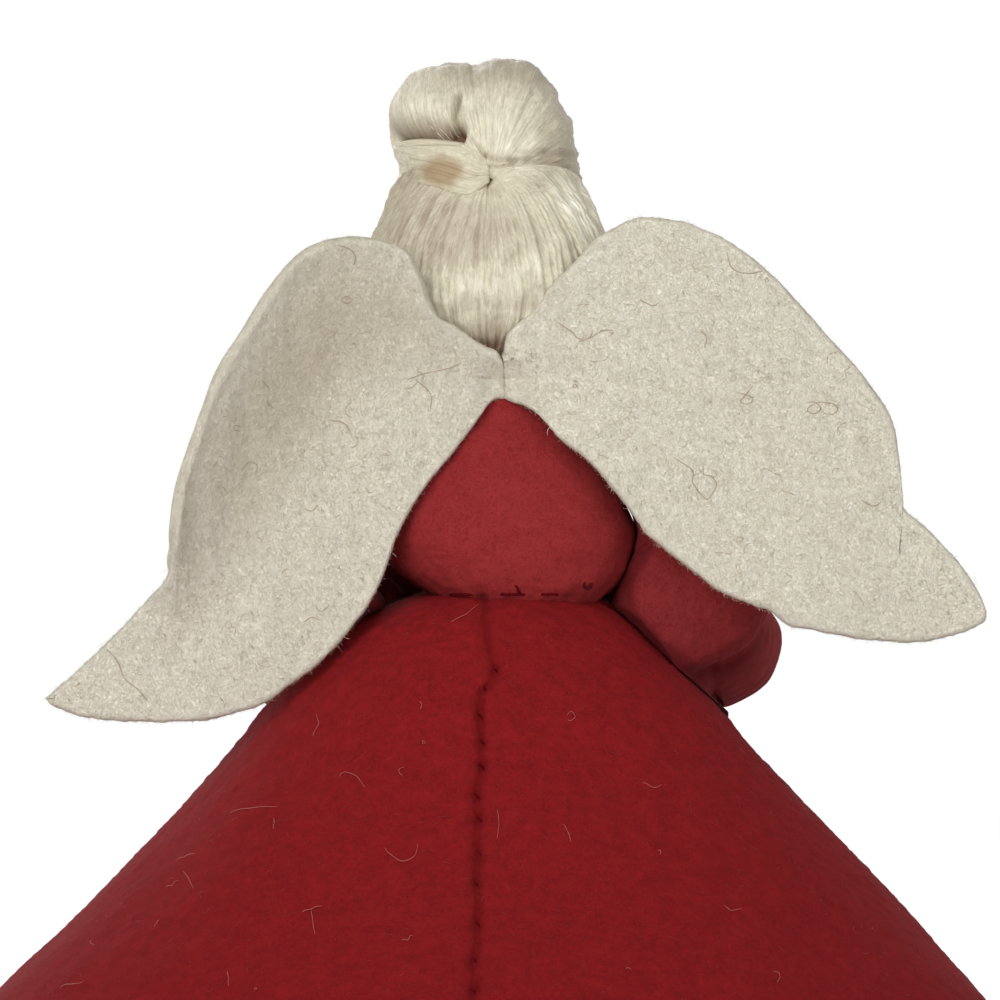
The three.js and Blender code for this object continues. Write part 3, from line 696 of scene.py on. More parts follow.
def floss_group():
    """Strands on the strand map, whose first place counts millimetres across the strands and
    its second along them. Three noises, long along the strands, give locks, strands and the
    finest hairs, and a fourth with no direction crinkles them."""
    tree, _ = new_group("floss", {})
    place = new_node(tree, "ShaderNodeUVMap", uv_map="strand").outputs[0]

    def streak(across, along, detail, bend):
        return noise(tree, vectors(tree, "MULTIPLY", place, (across, along, 1))[0], 1.0, detail, bend)

    lock, strand, hair = streak(1.0, 0.22, 3.0, 1.0), streak(3.2, 0.5, 4.0, 1.1), streak(7.5, 1.3, 3.0, 0.8)
    crinkle = noise(tree, object_place(tree), 1300.0, 4.0, 0.8)
    put_out(tree, {
        "Lock": lock,
        "Strand": weighted(tree, (strand, 0.45), (hair, 0.3), (crinkle, 0.25)),
        "Height": weighted(tree, (strand, 0.6), (hair, 0.4), (lock, 0.4), (crinkle, 0.7)),
    })
    return tree


floss = floss_group()
floss_finish = {"Roughness": 0.5, "Specular IOR Level": 0.3}
# The second colour is the painted shade that the hair's shade attribute lays on it.
hair_shade, hair_painted_shade = colour(168, 160, 136), colour(108, 80, 60)


def hair_material(name, shade, middle, shine, bump=0.4, patch=None):
    """Silky floss: its locks and strands run between a shaded and a bright cream. The mesh's
    own shade attribute paints shade in a deep brown, down between the locks and in folds, and
    below 0 a pale painted highlight. A patch, if given, is a warm stain of dried glue with a
    ragged edge."""
    material, tree, shader = new_material(name)
    group = new_node(tree, "ShaderNodeGroup", node_tree=floss).outputs
    base = ramp_colours(tree, group["Strand"], (0.31, shade), (0.5, middle), (0.69, shine))
    base = blend_colours(tree, map_range(tree, group["Lock"], 0.36, 0.58, 0.3, 0.0), base, shade)
    if patch:
        place = object_place(tree)
        off = vectors(tree, "SUBTRACT", place, tuple(np.array(patch["at"]) * MM))[0]
        far = vectors(tree, "LENGTH", vectors(tree, "MULTIPLY", off, patch["squash"])[0])["Value"]
        ragged = sums(tree, "ADD", far, sums(tree, "MULTIPLY", noise(tree, place, 420.0, 4.0), 0.0022))
        stain = map_range(tree, ragged, 0.0046, 0.0024, to_high=0.9, steps="SMOOTHSTEP")
        base = blend_colours(tree, stain, base, patch["colour"])
    down = new_node(tree, "ShaderNodeAttribute", attribute_name="shade").outputs["Fac"]
    # Painted highlight where the shade attribute is below 0, stronger on some locks.
    gleam = sums(tree, "MULTIPLY", down, -1.0, clamp=True)
    gleam = sums(tree, "MULTIPLY", gleam, map_range(tree, group["Lock"], 0.4, 0.56, 0.25, 1.0))
    base = blend_colours(tree, gleam, base, colour(250, 246, 229))
    finish(shader, blend_colours(tree, down, base, hair_painted_shade), group["Height"], bump, 0.00022, floss_finish)
    return material


hair = hair_material("pale_floss", hair_shade, colour(207, 200, 177), colour(233, 227, 206))

PINCH = np.array([0.3, 132.7])  # along X and up, on the back of the head


def off_line(x, height, line):
    """How far each point is from a line of points, seen from behind."""
    far = np.full(np.broadcast(x, height).shape, 99.0)
    for (ax, az), (bx, bz) in zip(line, line[1:]):
        dx, dz = bx - ax, bz - az
        share = part(((x - ax) * dx + (height - az) * dz) / (dx * dx + dz * dz))
        far = np.minimum(far, np.hypot(x - ax - share * dx, height - az - share * dz))
    return far


def ridges(across, along, seed, sizes):
    """Strands as a sum of sines across the hair, each with its own pitch, size, phase and
    slow sway along its length."""
    random = np.random.default_rng(seed)
    total = 0 * across * along
    for pitch, size in sizes:
        for _ in range(3):
            k = 2 * np.pi / (pitch * random.uniform(0.75, 1.3))
            phase, sway, slow = random.uniform(0, 6.3), random.uniform(0.2, 1.2), random.uniform(0.1, 0.3)
            total = total + size * np.sin(k * across + phase + sway * np.sin(slow * along + phase))
    return total


def lens(name, outer, inner, marks, shade=None):
    """A closed form between an outer and an inner grid, which share their edge points."""
    rows, cols, _ = outer.shape
    faces = squares(rows, cols)
    inside = np.zeros((rows, cols), bool)
    inside[1:-1, 1:-1] = True
    other = np.arange(rows * cols).reshape(rows, cols)
    other[inside] = rows * cols + np.arange(inside.sum())
    points = np.concatenate([outer.reshape(-1, 3), inner[inside]])
    back = other.ravel()[faces][:, ::-1]
    if shade is not None:
        shade = np.concatenate([shade.ravel(), shade[inside]])
    return make_mesh(name, points, [faces, back], marks.reshape(-1, 2), [faces, faces[:, ::-1]], shade)


def rounded_lens(name, outer, inner, across, along, rows, cols, shade=None):
    """A lens whose faces come together over so many rows and columns at its edges, like a
    quarter circle, with marks across and along its strands."""
    i, j = (np.minimum(np.arange(n), np.arange(n)[::-1]) for n in outer.shape[:2])
    edge = np.sqrt(1 - (1 - part(np.minimum(i[:, None] / rows, j / cols))) ** 2)[..., None]
    middle = (outer + inner) / 2
    outer, inner = middle + (outer - middle) * edge, middle + (inner - middle) * edge
    if shade is not None:
        shade = np.broadcast_to(shade, outer.shape[:2])
    return lens(name, outer, inner, np.stack(np.broadcast_arrays(across, along), -1), shade)


def glow(x, up, gleams):
    """Painted highlights on the hair, each an oval bell at a place along X and up, with half its
    length, half its height and how strong it is."""
    return sum(strong * bell(x - at, wide) * bell(up - above, high) for at, above, wide, high, strong in gleams)


# Upper hair: the floss that goes over the ball, from the hairline round the face to the
# point behind. On the angel's left it is turned under in a roll, with a fold beside it.

hair_outline = np.array([  # along X and up, as the hair's edge is seen from behind
    [12.0, 124], [12.4, 129], [12.8, 132.4], [13.1, 135.4], [13.5, 137.1], [14.1, 139.4], [14.4, 141.6],
    [14.0, 143.9], [13.0, 145.9], [10.9, 148.0], [8.3, 149.1], [6.3, 149.4], [1.8, 149.4], [0.3, 149.8],
    [-1.2, 150.1], [-4.2, 150.1], [-5.5, 149.8], [-7.0, 148.5], [-8.2, 146.5], [-9.8, 144], [-11.1, 141.4],
    [-11.6, 139.1], [-12.0, 136.4], [-12.4, 133.6], [-12.4, 130], [-12, 125],
])
MIDDLE = np.array([0.2, 0.6, 132.4])
HAIR_BACK, HAIR_FRONT = 13.3, 12.2
HAIR_OUT = 13.2  # how far the hair is from its middle, so that angles count as millimetres
tip = np.linspace(0.02, 1, 150)[:, None]
fan = np.linspace(-2.15, 2.15, 300)[None]
polar = 0.03 + (2.12 + 0.1 * np.cos(fan)) * tip**1.1
direction = np.stack([-np.sin(polar) * np.sin(fan), np.cos(polar), np.sin(polar) * np.cos(fan)], -1)
edge_turn = np.arctan2(-(hair_outline[:, 0] - MIDDLE[0]), hair_outline[:, 1] - MIDDLE[2])
edge_reach = np.interp(fan, edge_turn, np.hypot(*(hair_outline - MIDDLE[[0, 2]]).T))
fore_aft = np.where(direction[..., 1] > 0, HAIR_BACK, HAIR_FRONT)
power = 2.25
reach = ((np.abs(direction[..., 1]) / fore_aft) ** power + (np.sin(polar) / edge_reach) ** power) ** (-1 / power)
flat_x = MIDDLE[0] + direction[..., 0] * reach
flat_up = MIDDLE[2] + direction[..., 2] * reach
behind = part(direction[..., 1] * 6)
under_roll = part((flat_x - 3.4) / 1.5)
roll_cut = np.where(flat_up > 139.1, bell(flat_up - 139.1, 1.9), bell(flat_up - 139.1, 0.9))
fold = off_line(flat_x, flat_up, [[4.6, 145.2], [5.2, 142.7], [5.6, 140.6]])
hole = off_line(flat_x, flat_up, [[5.7, 140.6], [4.4, 139.9]])
tucks = [
    ([[1.0, 136.4], [-1.0, 135.9], [-3.6, 135.8]], 0.28), ([[0.2, 134.9], [-1.4, 134.9], [-3.2, 135.3]], 0.22),
    ([[-4.0, 137.6], [-7.0, 136.9], [-11.4, 136.9]], 0.6), ([[2.6, 138.6], [0.8, 136.6]], 0.3),
    ([[-3.2, 135.6], [-5.6, 135.9], [-9.2, 135.5], [-12.4, 133.6]], 0.55),
]
tuck = sum(bell(off_line(flat_x, flat_up, line), width) for line, width in tucks)
dip = 3.0 * roll_cut * under_roll + 1.3 * bell(fold, 0.4) + 0.35 * bell(fold, 1.6)
dip += 1.7 * bell(hole, 0.85) + 0.5 * tuck + 1.2 * bell(polar, 0.14)
bulge = 0.7 * bell(flat_x - 9.4, 3.6) * bell(flat_up - 143.2, 2.6)
bulge += 0.5 * bell(flat_x + 1.5, 4.0) * bell(flat_up - 141.5, 3.5)
on_roll = part((flat_x - 2.6) / 2.2) * part((flat_up - 137.8) / 1.5) * behind
strand_across = fan * HAIR_OUT * (1 - on_roll) - 1.25 * flat_x * on_roll
strand_along = polar * HAIR_OUT
spread = np.clip(np.sin(polar) * 1.6, 0.08, 1)
relief = spread * ridges(strand_across, strand_along, 3, [(5.0, 0.07), (2.1, 0.045), (0.9, 0.026), (0.45, 0.014)])
relief += lumps(MIDDLE + direction * reach[..., None], 6, [(5.0, 0.08), (2.4, 0.05)])
reach = reach + (bulge - dip) * behind + relief
# Painted shade in the hole, the fold and the tucks, under the roll, on the angel's right, along a low band on that
# side and towards the top; painted highlights where the floss shines.
shade = behind * (0.75 * bell(hole, 0.95) + 0.35 * bell(fold, 0.5) + 0.22 * tuck)
shade += behind * under_roll * 0.7 * bell(flat_up - 140.0, 1.5)
shade += 0.3 * part((-6.0 - flat_x) / 4) + 0.42 * part((flat_up - 144.6) / 4.0) * np.clip((10 - flat_x) / 5, 0.3, 1)
shade += 0.12 * bell(flat_up - 135.9, 1.1) * part((-2 - flat_x) / 3)
shade -= behind * glow(flat_x, flat_up, [
    (10.2, 142.9, 1.7, 1.2, 0.3), (2.8, 144.0, 1.5, 0.8, 0.5), (-0.8, 140.6, 2.4, 1.7, 0.35),
    (5.9, 141.2, 0.6, 1.0, 0.5), (-2.4, 137.6, 2.6, 0.7, 0.6),
])
upper_out = MIDDLE + direction * reach[..., None]
upper_in = MIDDLE + direction * np.maximum(HEAD_RADIUS + 0.15, reach - 2.4)[..., None]
upper_hair = rounded_lens("upper_hair", upper_out, upper_in, strand_across, strand_along, 5, 6, shade)
dress(upper_hair, "doll", hair, ["hair_crown", "hair_lobe_right", "hair_lobe_left"])

# Fall: the lower hair. Its strands leave the gathered point sideways and down, bend over
# the back and sides of the head and hang to the nape.

fall_rows = np.array([  # height, half width, depth behind
    [107.5, 6.5, 9.4], [109.5, 10.2, 10.5], [112.0, 13.4, 11.8], [116.0, 16.2, 13.7], [119.5, 16.6, 14.3],
    [122.0, 16.5, 14.3], [124.8, 16.0, 14.0], [127.6, 15.0, 13.7], [131.0, 13.8, 13.6], [134.0, 13.2, 13.7],
    [137.0, 13.0, 13.8],
])
fall_side = smooth_line(fall_rows, 400)
FALL_TURN, FALL_WIDE, FALL_LONG, HAIR_POWER = 2.3, 38, 26, 2.3
side = np.linspace(-1, 1, 330)[None]
run = np.linspace(0.012, 1, 135)[:, None]
open_out = 1 - (1 - run) ** 2.3
turn = side * FALL_TURN * open_out * (0.9 + 0.1 * np.cos(3 * side)) - 0.02
tips = 107.9 + 2.6 * np.abs(side) ** 2 + 0.35 * np.sin(23 * side) + 0.25 * np.sin(57 * side + 1)
sink = run ** (1.0 + 1.3 * np.abs(side))
arch = 2.9 * np.abs(side) ** 1.5 * np.sin(np.pi * np.sqrt(run))
height = PINCH[1] - (PINCH[1] - tips) * sink + arch
wide, deep = (np.interp(height, fall_side[:, 0], fall_side[:, n]) for n in (1, 2))
fall_across, fall_along = side * FALL_WIDE, run * FALL_LONG + 0 * side
packed = 0.35 + 0.65 * open_out
relief = ridges(fall_across * packed, fall_along, 9, [(4.6, 0.09), (1.9, 0.06), (0.9, 0.038), (0.45, 0.02)])
relief *= np.clip(open_out * 1.7, 0.15, 1)
pull = 1.3 * bell(run, 0.09)


def fall_surface(inset):
    """The fall so far under its own outside: at each height a full oval, wider than deep."""
    return oval(0.2, inset - wide, deep - inset, turn, height, HAIR_POWER)


relief = relief + lumps(fall_surface(0), 7, [(5.0, 0.09), (2.4, 0.06)])
fall_out, fall_in = fall_surface(pull - relief - 0.35), fall_surface(pull + 1.3)
# Painted shade: a deep brown shadow between the wings at the nape, in the hollows between locks, near the gathered
# point, on the angel's left above 117 mm and in a band across the middle; painted highlights where the floss shines.
between_wings = bell((turn + 0.02) * 12, 4.5) * part((113.2 - height) / 3.2)
fall_shade = 0.95 * between_wings + 0.22 * np.clip(-relief - 0.05, 0, 0.2) / 0.2 + 0.3 * bell(run, 0.05)
fall_shade += 0.3 * part((0.2 - turn) * 0.9) * part((height - 117) / 5)
fall_shade += 0.24 * bell(height - 126, 4) * part(1 - np.abs(turn) * 1.4)
fall_shade = fall_shade - (np.cos(turn) > 0) * glow(0.2 - wide * np.sin(turn), height, [
    (-10.6, 130.2, 2.6, 2.4, 1.0), (-12.6, 126.6, 1.8, 2.6, 0.9), (1.5, 118.2, 4.6, 1.8, 0.45),
    (-5.5, 120.5, 2.2, 1.6, 0.45), (-2.4, 134.4, 2.6, 0.6, 0.7), (9.4, 116.4, 1.6, 3.0, 0.6),
])
fall = rounded_lens("hair_fall", fall_out, fall_in, fall_across, fall_along, 6, 5, fall_shade)
dress(fall, "doll", hair, ["hair_nape"])

# Loose strands: single threads of the floss that stand a little off the locks, laid over the
# upper hair and the fall along the same way.


def between_cells(table, i, j, u, v):
    """A table read between its cells, u of the way to the next row and v to the next column."""
    near = (table[i, j] * (1 - u) + table[i + 1, j] * u) * (1 - v)
    return near + (table[i, j + 1] * (1 - u) + table[i + 1, j + 1] * u) * v


def loose_strands(name, surface, count, seed, length):
    """Tubes that follow a hair grid's own strands. Each starts at a random place, drifts a
    few columns to one side over its length and rises and sinks through the surface."""
    random = np.random.default_rng(seed)
    rows, cols, _ = surface.shape
    steps = 26
    start = random.uniform(0.06, 0.7, count)[:, None]
    reach_on = random.uniform(*length, count)[:, None]
    share = np.linspace(0, 1, steps)[None]
    row = np.clip((start + reach_on * share) * (rows - 1), 2, rows - 3)
    drift = random.normal(0, 2.5, count)[:, None] * share + random.normal(0, 1.0, count)[:, None] * np.sin(share * 5)
    col = np.clip(random.uniform(8, cols - 9, count)[:, None] + drift, 6, cols - 7)
    i, j = np.floor(row).astype(int), np.floor(col).astype(int)
    u, v = (row - i)[..., None], (col - j)[..., None]
    near = between_cells(surface, i, j, u, v)
    out = unit(near - [0.2, 0, 131])
    rise = -0.12 + (0.08 * random.uniform(0.4, 1, count)[:, None]) * np.sin(np.pi * share) ** 0.7
    thick = random.uniform(0.03, 0.06, count)[:, None] * np.sin(np.pi * (0.06 + 0.88 * share)) ** 0.4
    return threads(name, near + out * rise[..., None], thick, sides=4)


def strand_material():
    """Floss for single threads: two shades by a fine noise."""
    material, tree, shader = new_material("strand_floss")
    streak = noise(tree, object_place(tree), 900.0, 3.0)
    base = ramp_colours(tree, streak, (0.38, hair_shade), (0.6, colour(229, 223, 202)))
    finish(shader, base, streak, 0.2, 0.00005, floss_finish)
    return material


strand_floss = strand_material()
dress(loose_strands("upper_strands", upper_out, 240, 21, (0.1, 0.35)), "doll", strand_floss)
dress(loose_strands("fall_strands", fall_out, 420, 22, (0.08, 0.26)), "doll", strand_floss)

# Band: a flat lock glued across the back of the head from the left to the gathered point.
# The dried glue shows as a warm patch.

band_top = smooth_line([  # turn round the head from its back, height
    [1.95, 137.0], [1.5, 138.0], [0.84, 138.8], [0.34, 138.3], [0.17, 137.3], [0.05, 136.1], [0.0, 134.5]
], 160)
band_low = smooth_line([
    [1.95, 135.0], [1.4, 134.0], [0.87, 132.5], [0.55, 131.6], [0.36, 130.9], [0.2, 130.9], [0.0, 132.6]
], 160)
BAND_LONG, BAND_WIDE = 19, 6.2
cross = np.linspace(0, 1, 90)[None]
band_turn, band_up = (low[:, None] * (1 - cross) + top[:, None] * cross for low, top in zip(band_low.T, band_top.T))
cross_mm = cross * BAND_WIDE
along_band = np.linspace(0, BAND_LONG, 160)[:, None]
rounded = np.sin(np.pi * cross ** 0.75)
lying = 0.3 * rounded**0.7 * part((BAND_LONG - along_band) / 2.4) ** 0.6 - 0.42 * (1 - cross) ** 2
lying = lying + ridges(cross_mm, along_band, 15, [(2.8, 0.05), (1.1, 0.03), (0.5, 0.016)])
glue = bell(band_turn - 0.52, 0.28) * bell(band_up - 134.0, 2.0)
lying = lying * (1 - 0.4 * glue)


CELL, CELLS_FROM, CELLS_OVER, CELLS_UP = 0.5, (-18, 122), 72, 44  # the first corner is along X and up


def hair_under(x, up):
    """How far back the hair behind the band reaches: the farthest point of the upper hair and
    the fall in each cell of half a millimetre, spread over the cells beside it and read
    between their middles."""
    table = np.full((CELLS_OVER, CELLS_UP), -20.0)
    for points in (upper_out.reshape(-1, 3), fall_out.reshape(-1, 3)):
        cell = np.floor((points[:, [0, 2]] - CELLS_FROM) / CELL).astype(int)
        keep = (cell >= 0).all(1) & (cell < table.shape).all(1)
        np.maximum.at(table, tuple(cell[keep].T), points[keep, 1])
    for _ in range(2):
        pad = np.pad(table, 1, mode="edge")
        near = np.stack([pad[i:i + CELLS_OVER, j:j + CELLS_UP] for i in range(3) for j in range(3)])
        table = np.maximum(near.mean(0), table)
    u = np.clip((x - CELLS_FROM[0]) / CELL - 0.5, 0, CELLS_OVER - 1.1)
    v = np.clip((up - CELLS_FROM[1]) / CELL - 0.5, 0, CELLS_UP - 1.1)
    i, j = u.astype(int), v.astype(int)
    return between_cells(table, i, j, u - i, v - j)


def round_head(out):
    """Points of the band so far off the hair: at each height a full oval like the hair's, and
    behind the head no nearer to it than the hair's own surface."""
    wide = np.interp(band_up, [130, 133, 136, 139], [13.1, 12.5, 12.7, 13.3])
    deep = np.interp(band_up, [130, 133, 136, 139], [13.9, 13.7, 13.6, 12.9])
    points = oval(0.2, wide + out, deep + out, band_turn, band_up, HAIR_POWER)
    short = np.maximum(hair_under(points[..., 0], band_up) + out - points[..., 1], 0)
    points[..., 1] += part((1.05 - band_turn) / 0.25) * short
    return points


band_out, band_in = round_head(0.1 + lying), round_head(-1.2 + 0 * lying)
band = rounded_lens("hair_band_floss", band_out, band_in, cross_mm, along_band, 5, 5)
glue_patch = {"at": (7.0, 12.6, 134.1), "squash": (0.85, 0.3, 1.2), "colour": colour(150, 127, 94)}
band_hair = hair_material(
    "glued_floss", colour(172, 164, 140), colour(200, 193, 169), colour(223, 216, 194), 0.22, glue_patch
)
dress(band, "doll", band_hair, ["hair_band"])

# Arms: felt sleeves over a bent wire and a little wadding, round at the shoulder, folded at
# the elbow and open at a bell cuff, with a felt hand on the wire's end.


def path_frames(line):
    """The direction along a line of points, one level direction square to it, and the one
    square to both."""
    along = unit(np.gradient(line, axis=0))
    level = unit(np.cross(along, [0, 0, 1.0]))
    return along, level, np.cross(level, along)


SHOULDER_UP, SLEEVE_DROP, SLEEVE_SPREAD, FOREARM = 96.97, 26.6, 12.2, 21.0
SHOULDER_BALL, SLEEVE_FELT = 5.2, 1.3
arm_shares = np.array([  # shares of the sleeve's spread, forearm and drop
    [0, 0, 0], [0.3, -0.1, 0.2], [0.62, -0.13, 0.5], [0.87, -0.06, 0.79], [0.95, 0.08, 0.94], [1.03, 0.42, 1.04],
    [1.08, 1, 1.1],
])
sleeve_radii = np.array([  # share of the sleeve's length, radius
    [0, SHOULDER_BALL], [0.18, 6.4], [0.34, 7.5], [0.46, 8.6], [0.53, 8.9], [0.6, 7.8], [0.66, 6.4], [0.73, 6.9],
    [0.82, 7.8], [0.92, 8.5], [1, 8.8],
])
towards_body = np.array([  # share of the sleeve's length, how much fuller
    [0, 0], [0.2, 0.02], [0.36, 0.22], [0.46, 0.45], [0.55, 0.55], [0.61, 0.95], [0.68, 1.5], [0.8, 1.25], [1, 1.0]
])


def keep_off(points, inset):
    """Moves points out of the bodice and then out of the skirt, straight away from each one's
    upright middle, so that a full sleeve rests beside them; the lining by its inset more."""
    height = points[..., 2]
    wide, middle, deep = (np.interp(height, bodice_rows[:, 0], bodice_rows[:, n]) for n in (1, 2, 3))
    cone = skirt_radius(height)
    moved = points.copy()
    for centre, a, b, power, room, near in (
        (middle, wide, deep, BODICE_POWER, 0.15 + inset, (height > 74) & (height < 108)),
        (skirt_centre(height), cone, cone, 2, 0.5 + inset, height < 75.4),
    ):
        x, y = moved[..., 0] - centre, moved[..., 1]
        share = (np.abs(x / (a + room)) ** power + np.abs(y / (b + room)) ** power) ** (1 / power)
        out = np.where(near, np.maximum(1, 1 / np.maximum(share, 0.05)), 1)
        moved[..., 0], moved[..., 1] = centre + x * out, y * out
    return moved


def swung(points, shoulder, degrees):
    """Points turned about the level line through the shoulder, forward and up."""
    turn = np.radians(degrees)
    y, z = points[..., 1] - shoulder[1], points[..., 2] - shoulder[2]
    forward, up = y * np.cos(turn) + z * np.sin(turn), z * np.cos(turn) - y * np.sin(turn)
    return np.stack([points[..., 0], shoulder[1] + forward, shoulder[2] + up], -1)


elbow_edge = np.array([  # angle round the elbow's middle as seen from behind, how far off
    [-160, 7.6], [-136.7, 7.3], [-121.5, 7.3], [-102.6, 7.5], [-84, 7.4], [-66.9, 7.0], [-45, 6.9], [-14.5, 8.2],
    [-0.5, 10.2], [13, 10.9], [26.3, 11.2], [41.9, 11.2], [60, 12.6],
])


def elbow_shadow(points, middle, side):
    """How much painted shadow each point takes round the elbow's lower edge: full beyond the edge
    on the side towards the skirt, and fading within 2 mm of it on the outer side."""
    across, up = (points[..., 0] - middle[0]) * -side, points[..., 2] - middle[1]
    angle = np.degrees(np.arctan2(up, across))
    beyond = np.hypot(across, up) - np.interp(angle, *elbow_edge.T)
    skirt_side = part((angle + 100) / 40)
    fade = skirt_side + (1 - skirt_side) * bell(beyond, 2.2)
    near = part((angle + 170) / 30) * part((60 - angle) / 15) * part((points[..., 1] + 13) / 4)
    return part(beyond / 0.9 + 0.3) * fade * near


def sleeve(name, hand_name, wire_name, body, side, shoulder, rise, full, elbow, elbow_shadow_share):
    """A sleeve from its shoulder ball along the arm's line to the cuff's rim and back up
    inside. The radius follows a table, grows towards the body as the sleeve gets wider, and
    a fold pinches it inside the elbow. Its felt takes painted shadow round the elbow's lower
    edge and painted shade on the cuff's rim and lining. Its wire stays as it is and
    carries a mitten: a rounded palm with a thumb on its inner side."""
    points = np.array(shoulder) + arm_shares * [side * SLEEVE_SPREAD, -FOREARM, -SLEEVE_DROP]
    points[:, 2] += arm_shares[:, 1] * rise
    steps = 150
    line, share = smooth_line(points, steps), np.linspace(0, 1, steps)
    along, level, up = path_frames(line)
    radius = np.interp(share, *smooth_line(sleeve_radii, 900).T)
    turn = np.linspace(0, 2 * np.pi, 130, endpoint=False)
    inward = full * np.interp(share, *smooth_line(towards_body, 900).T)

    def ring(k, size):
        out = np.cos(turn)[:, None] * level[k] + np.sin(turn)[:, None] * up[k]
        fuller = 1 + inward[k] * part(-side * out[:, 0]) ** 1.35
        return line[k] + out * (np.broadcast_to(size, turn.shape) * fuller)[:, None]

    cap_turn = np.linspace(0.12, np.pi / 2, 14)[:-1]
    cap = [ring(0, SHOULDER_BALL * np.sin(t)) - along[0] * SHOULDER_BALL * np.cos(t) for t in cap_turn]
    folds = 0.16 * np.sin(3 * turn + 1) + 0.1 * np.sin(7 * turn)
    tube = []
    for k, s in enumerate(share):
        soft = part(s * 3)
        crease = 1.1 * bell(s - 0.645, 0.035) * (0.35 + 0.65 * part(-np.sin(turn)))
        wrinkle = 0.22 * np.sin(34 * s + 2.2 * np.sin(turn * 2)) * bell(s - 0.55, 0.13)
        tube.append(ring(k, radius[k] + folds * soft - crease + wrinkle))
    half = SLEEVE_FELT / 2
    rim = [
        ring(-1, radius[-1] - half + half * np.cos(t) + folds) + along[-1] * half * np.sin(t)
        for t in np.linspace(0, np.pi, 7)[1:-1]
    ]
    lining = [ring(k, radius[k] - SLEEVE_FELT + folds) for k in range(steps - 1, int(steps * 0.76), -3)]
    rings = np.array(cap + tube + rim + lining)
    outside = len(cap) + len(tube)
    uneven = -lumps(rings[:outside], 8, [(2.8, 0.07), (1.3, 0.04)])
    uneven[len(cap):] *= np.interp(share, [0, 0.6, 0.7, 1], [1, 1, 0.25, 0.25])[:, None]
    rings[:outside] += face_normals(rings[:outside]) * uneven[..., None]
    rings[..., 1] = np.minimum(rings[..., 1], 5) + 0.72 * np.maximum(rings[..., 1] - 5, 0)
    inset = 1.1 * part((np.arange(len(rings)) - outside + 1) / 6)[:, None]
    for swing in (80, 60, 40, 20, -5.5, 0, -5.5):  # clear of the body all through its lift
        rings = swung(keep_off(swung(rings, shoulder, swing), inset), shoulder, -swing)
    shade = np.zeros(rings.shape[:2])
    # Painted shadow round the elbow's lower edge, on the side towards the skirt.
    shade[:outside] = elbow_shadow_share * elbow_shadow(rings[:outside], elbow, side)
    # Painted shade on the cuff's rim and its lining inside.
    shade[outside:] = 0.4
    piece = loft(f"{name}_felt", rings, shade=shade)
    dress(piece, body, sleeve_felt, [name])
    finish_node(wire_name, craft_wire)

    low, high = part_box(hand_name)
    middle = (np.array(low) + np.array(high)) / 2 / MM
    y, x, z = np.moveaxis(globe(50, 60, 0.02) * [1, -1, 1], -1, 0)
    thumb = np.exp(-((x * -side - 0.7) ** 2 + (z + 0.05) ** 2 + (y - 0.45) ** 2) / 0.09)
    size = 1 + thumb * 0.55
    palm = np.stack([3.1 * x * size, 2.6 * y * size, 4.9 * z * (1 - 0.12 * (z > 0) * z)], -1)
    tilt = np.stack([level[-1], up[-1], along[-1]])
    dress(loft(f"{hand_name}_mitten", middle + palm @ tilt), body, skin, [hand_name])


def wire_material():
    """Soft craft wire: fine drawn lines along a dull grey metal."""
    material, tree, shader = new_material("craft_wire")
    drawn = noise(tree, object_place(tree), 4000.0, 3.0)
    feed(shader.inputs["Base Color"], blend_colours(tree, drawn, colour(140, 140, 138), colour(176, 176, 172)))
    feed(shader.inputs["Roughness"], map_range(tree, drawn, 0.0, 1.0, 0.3, 0.5))
    feed(shader.inputs["Metallic"], 1)
    return material


craft_wire = wire_material()
sleeve_felt = felt_material(
    "sleeve_felt",
    dark=colour(105, 25, 27),
    middle=colour(115, 30, 32),
    light=colour(125, 36, 38),
    fibre=colour(138, 50, 51),
    painted_shade=colour(64, 9, 13),
    bump=0.25,
)
sleeve(
    "left_sleeve", "left_hand", "left_arm_wire", "left_arm", 1, [17.3, 0, SHOULDER_UP],
    rise=2.5, full=1.45, elbow=(29.0, 75.0), elbow_shadow_share=0.45,
)
sleeve(
    "right_sleeve", "right_hand", "right_arm_wire", "right_arm", -1, [-19.0, 0, SHOULDER_UP],
    rise=0, full=1.4, elbow=(-30.8, 72.6), elbow_shadow_share=0.54,
)

# Wings: two pieces of thick ivory wool felt with soft cut edges, sewn side by side to the
# bodice's back. The left one's outer rim curls back strongly, the right one lies flatter.

WING_FELT, WING_FACE, WING_SWEEP, WING_SEAM = 1.7, 11.06, 0.1, -1.9
ivory_felt = felt_material(
    "ivory_felt",
    dark=colour(205, 197, 173),
    middle=colour(222, 215, 195),
    light=colour(234, 228, 211),
    fibre=colour(241, 236, 220),
    painted_shade=colour(190, 178, 154),
    per_mm=(3.0, 2.2),
    bump=0.95,
    sheen=0.04,
)
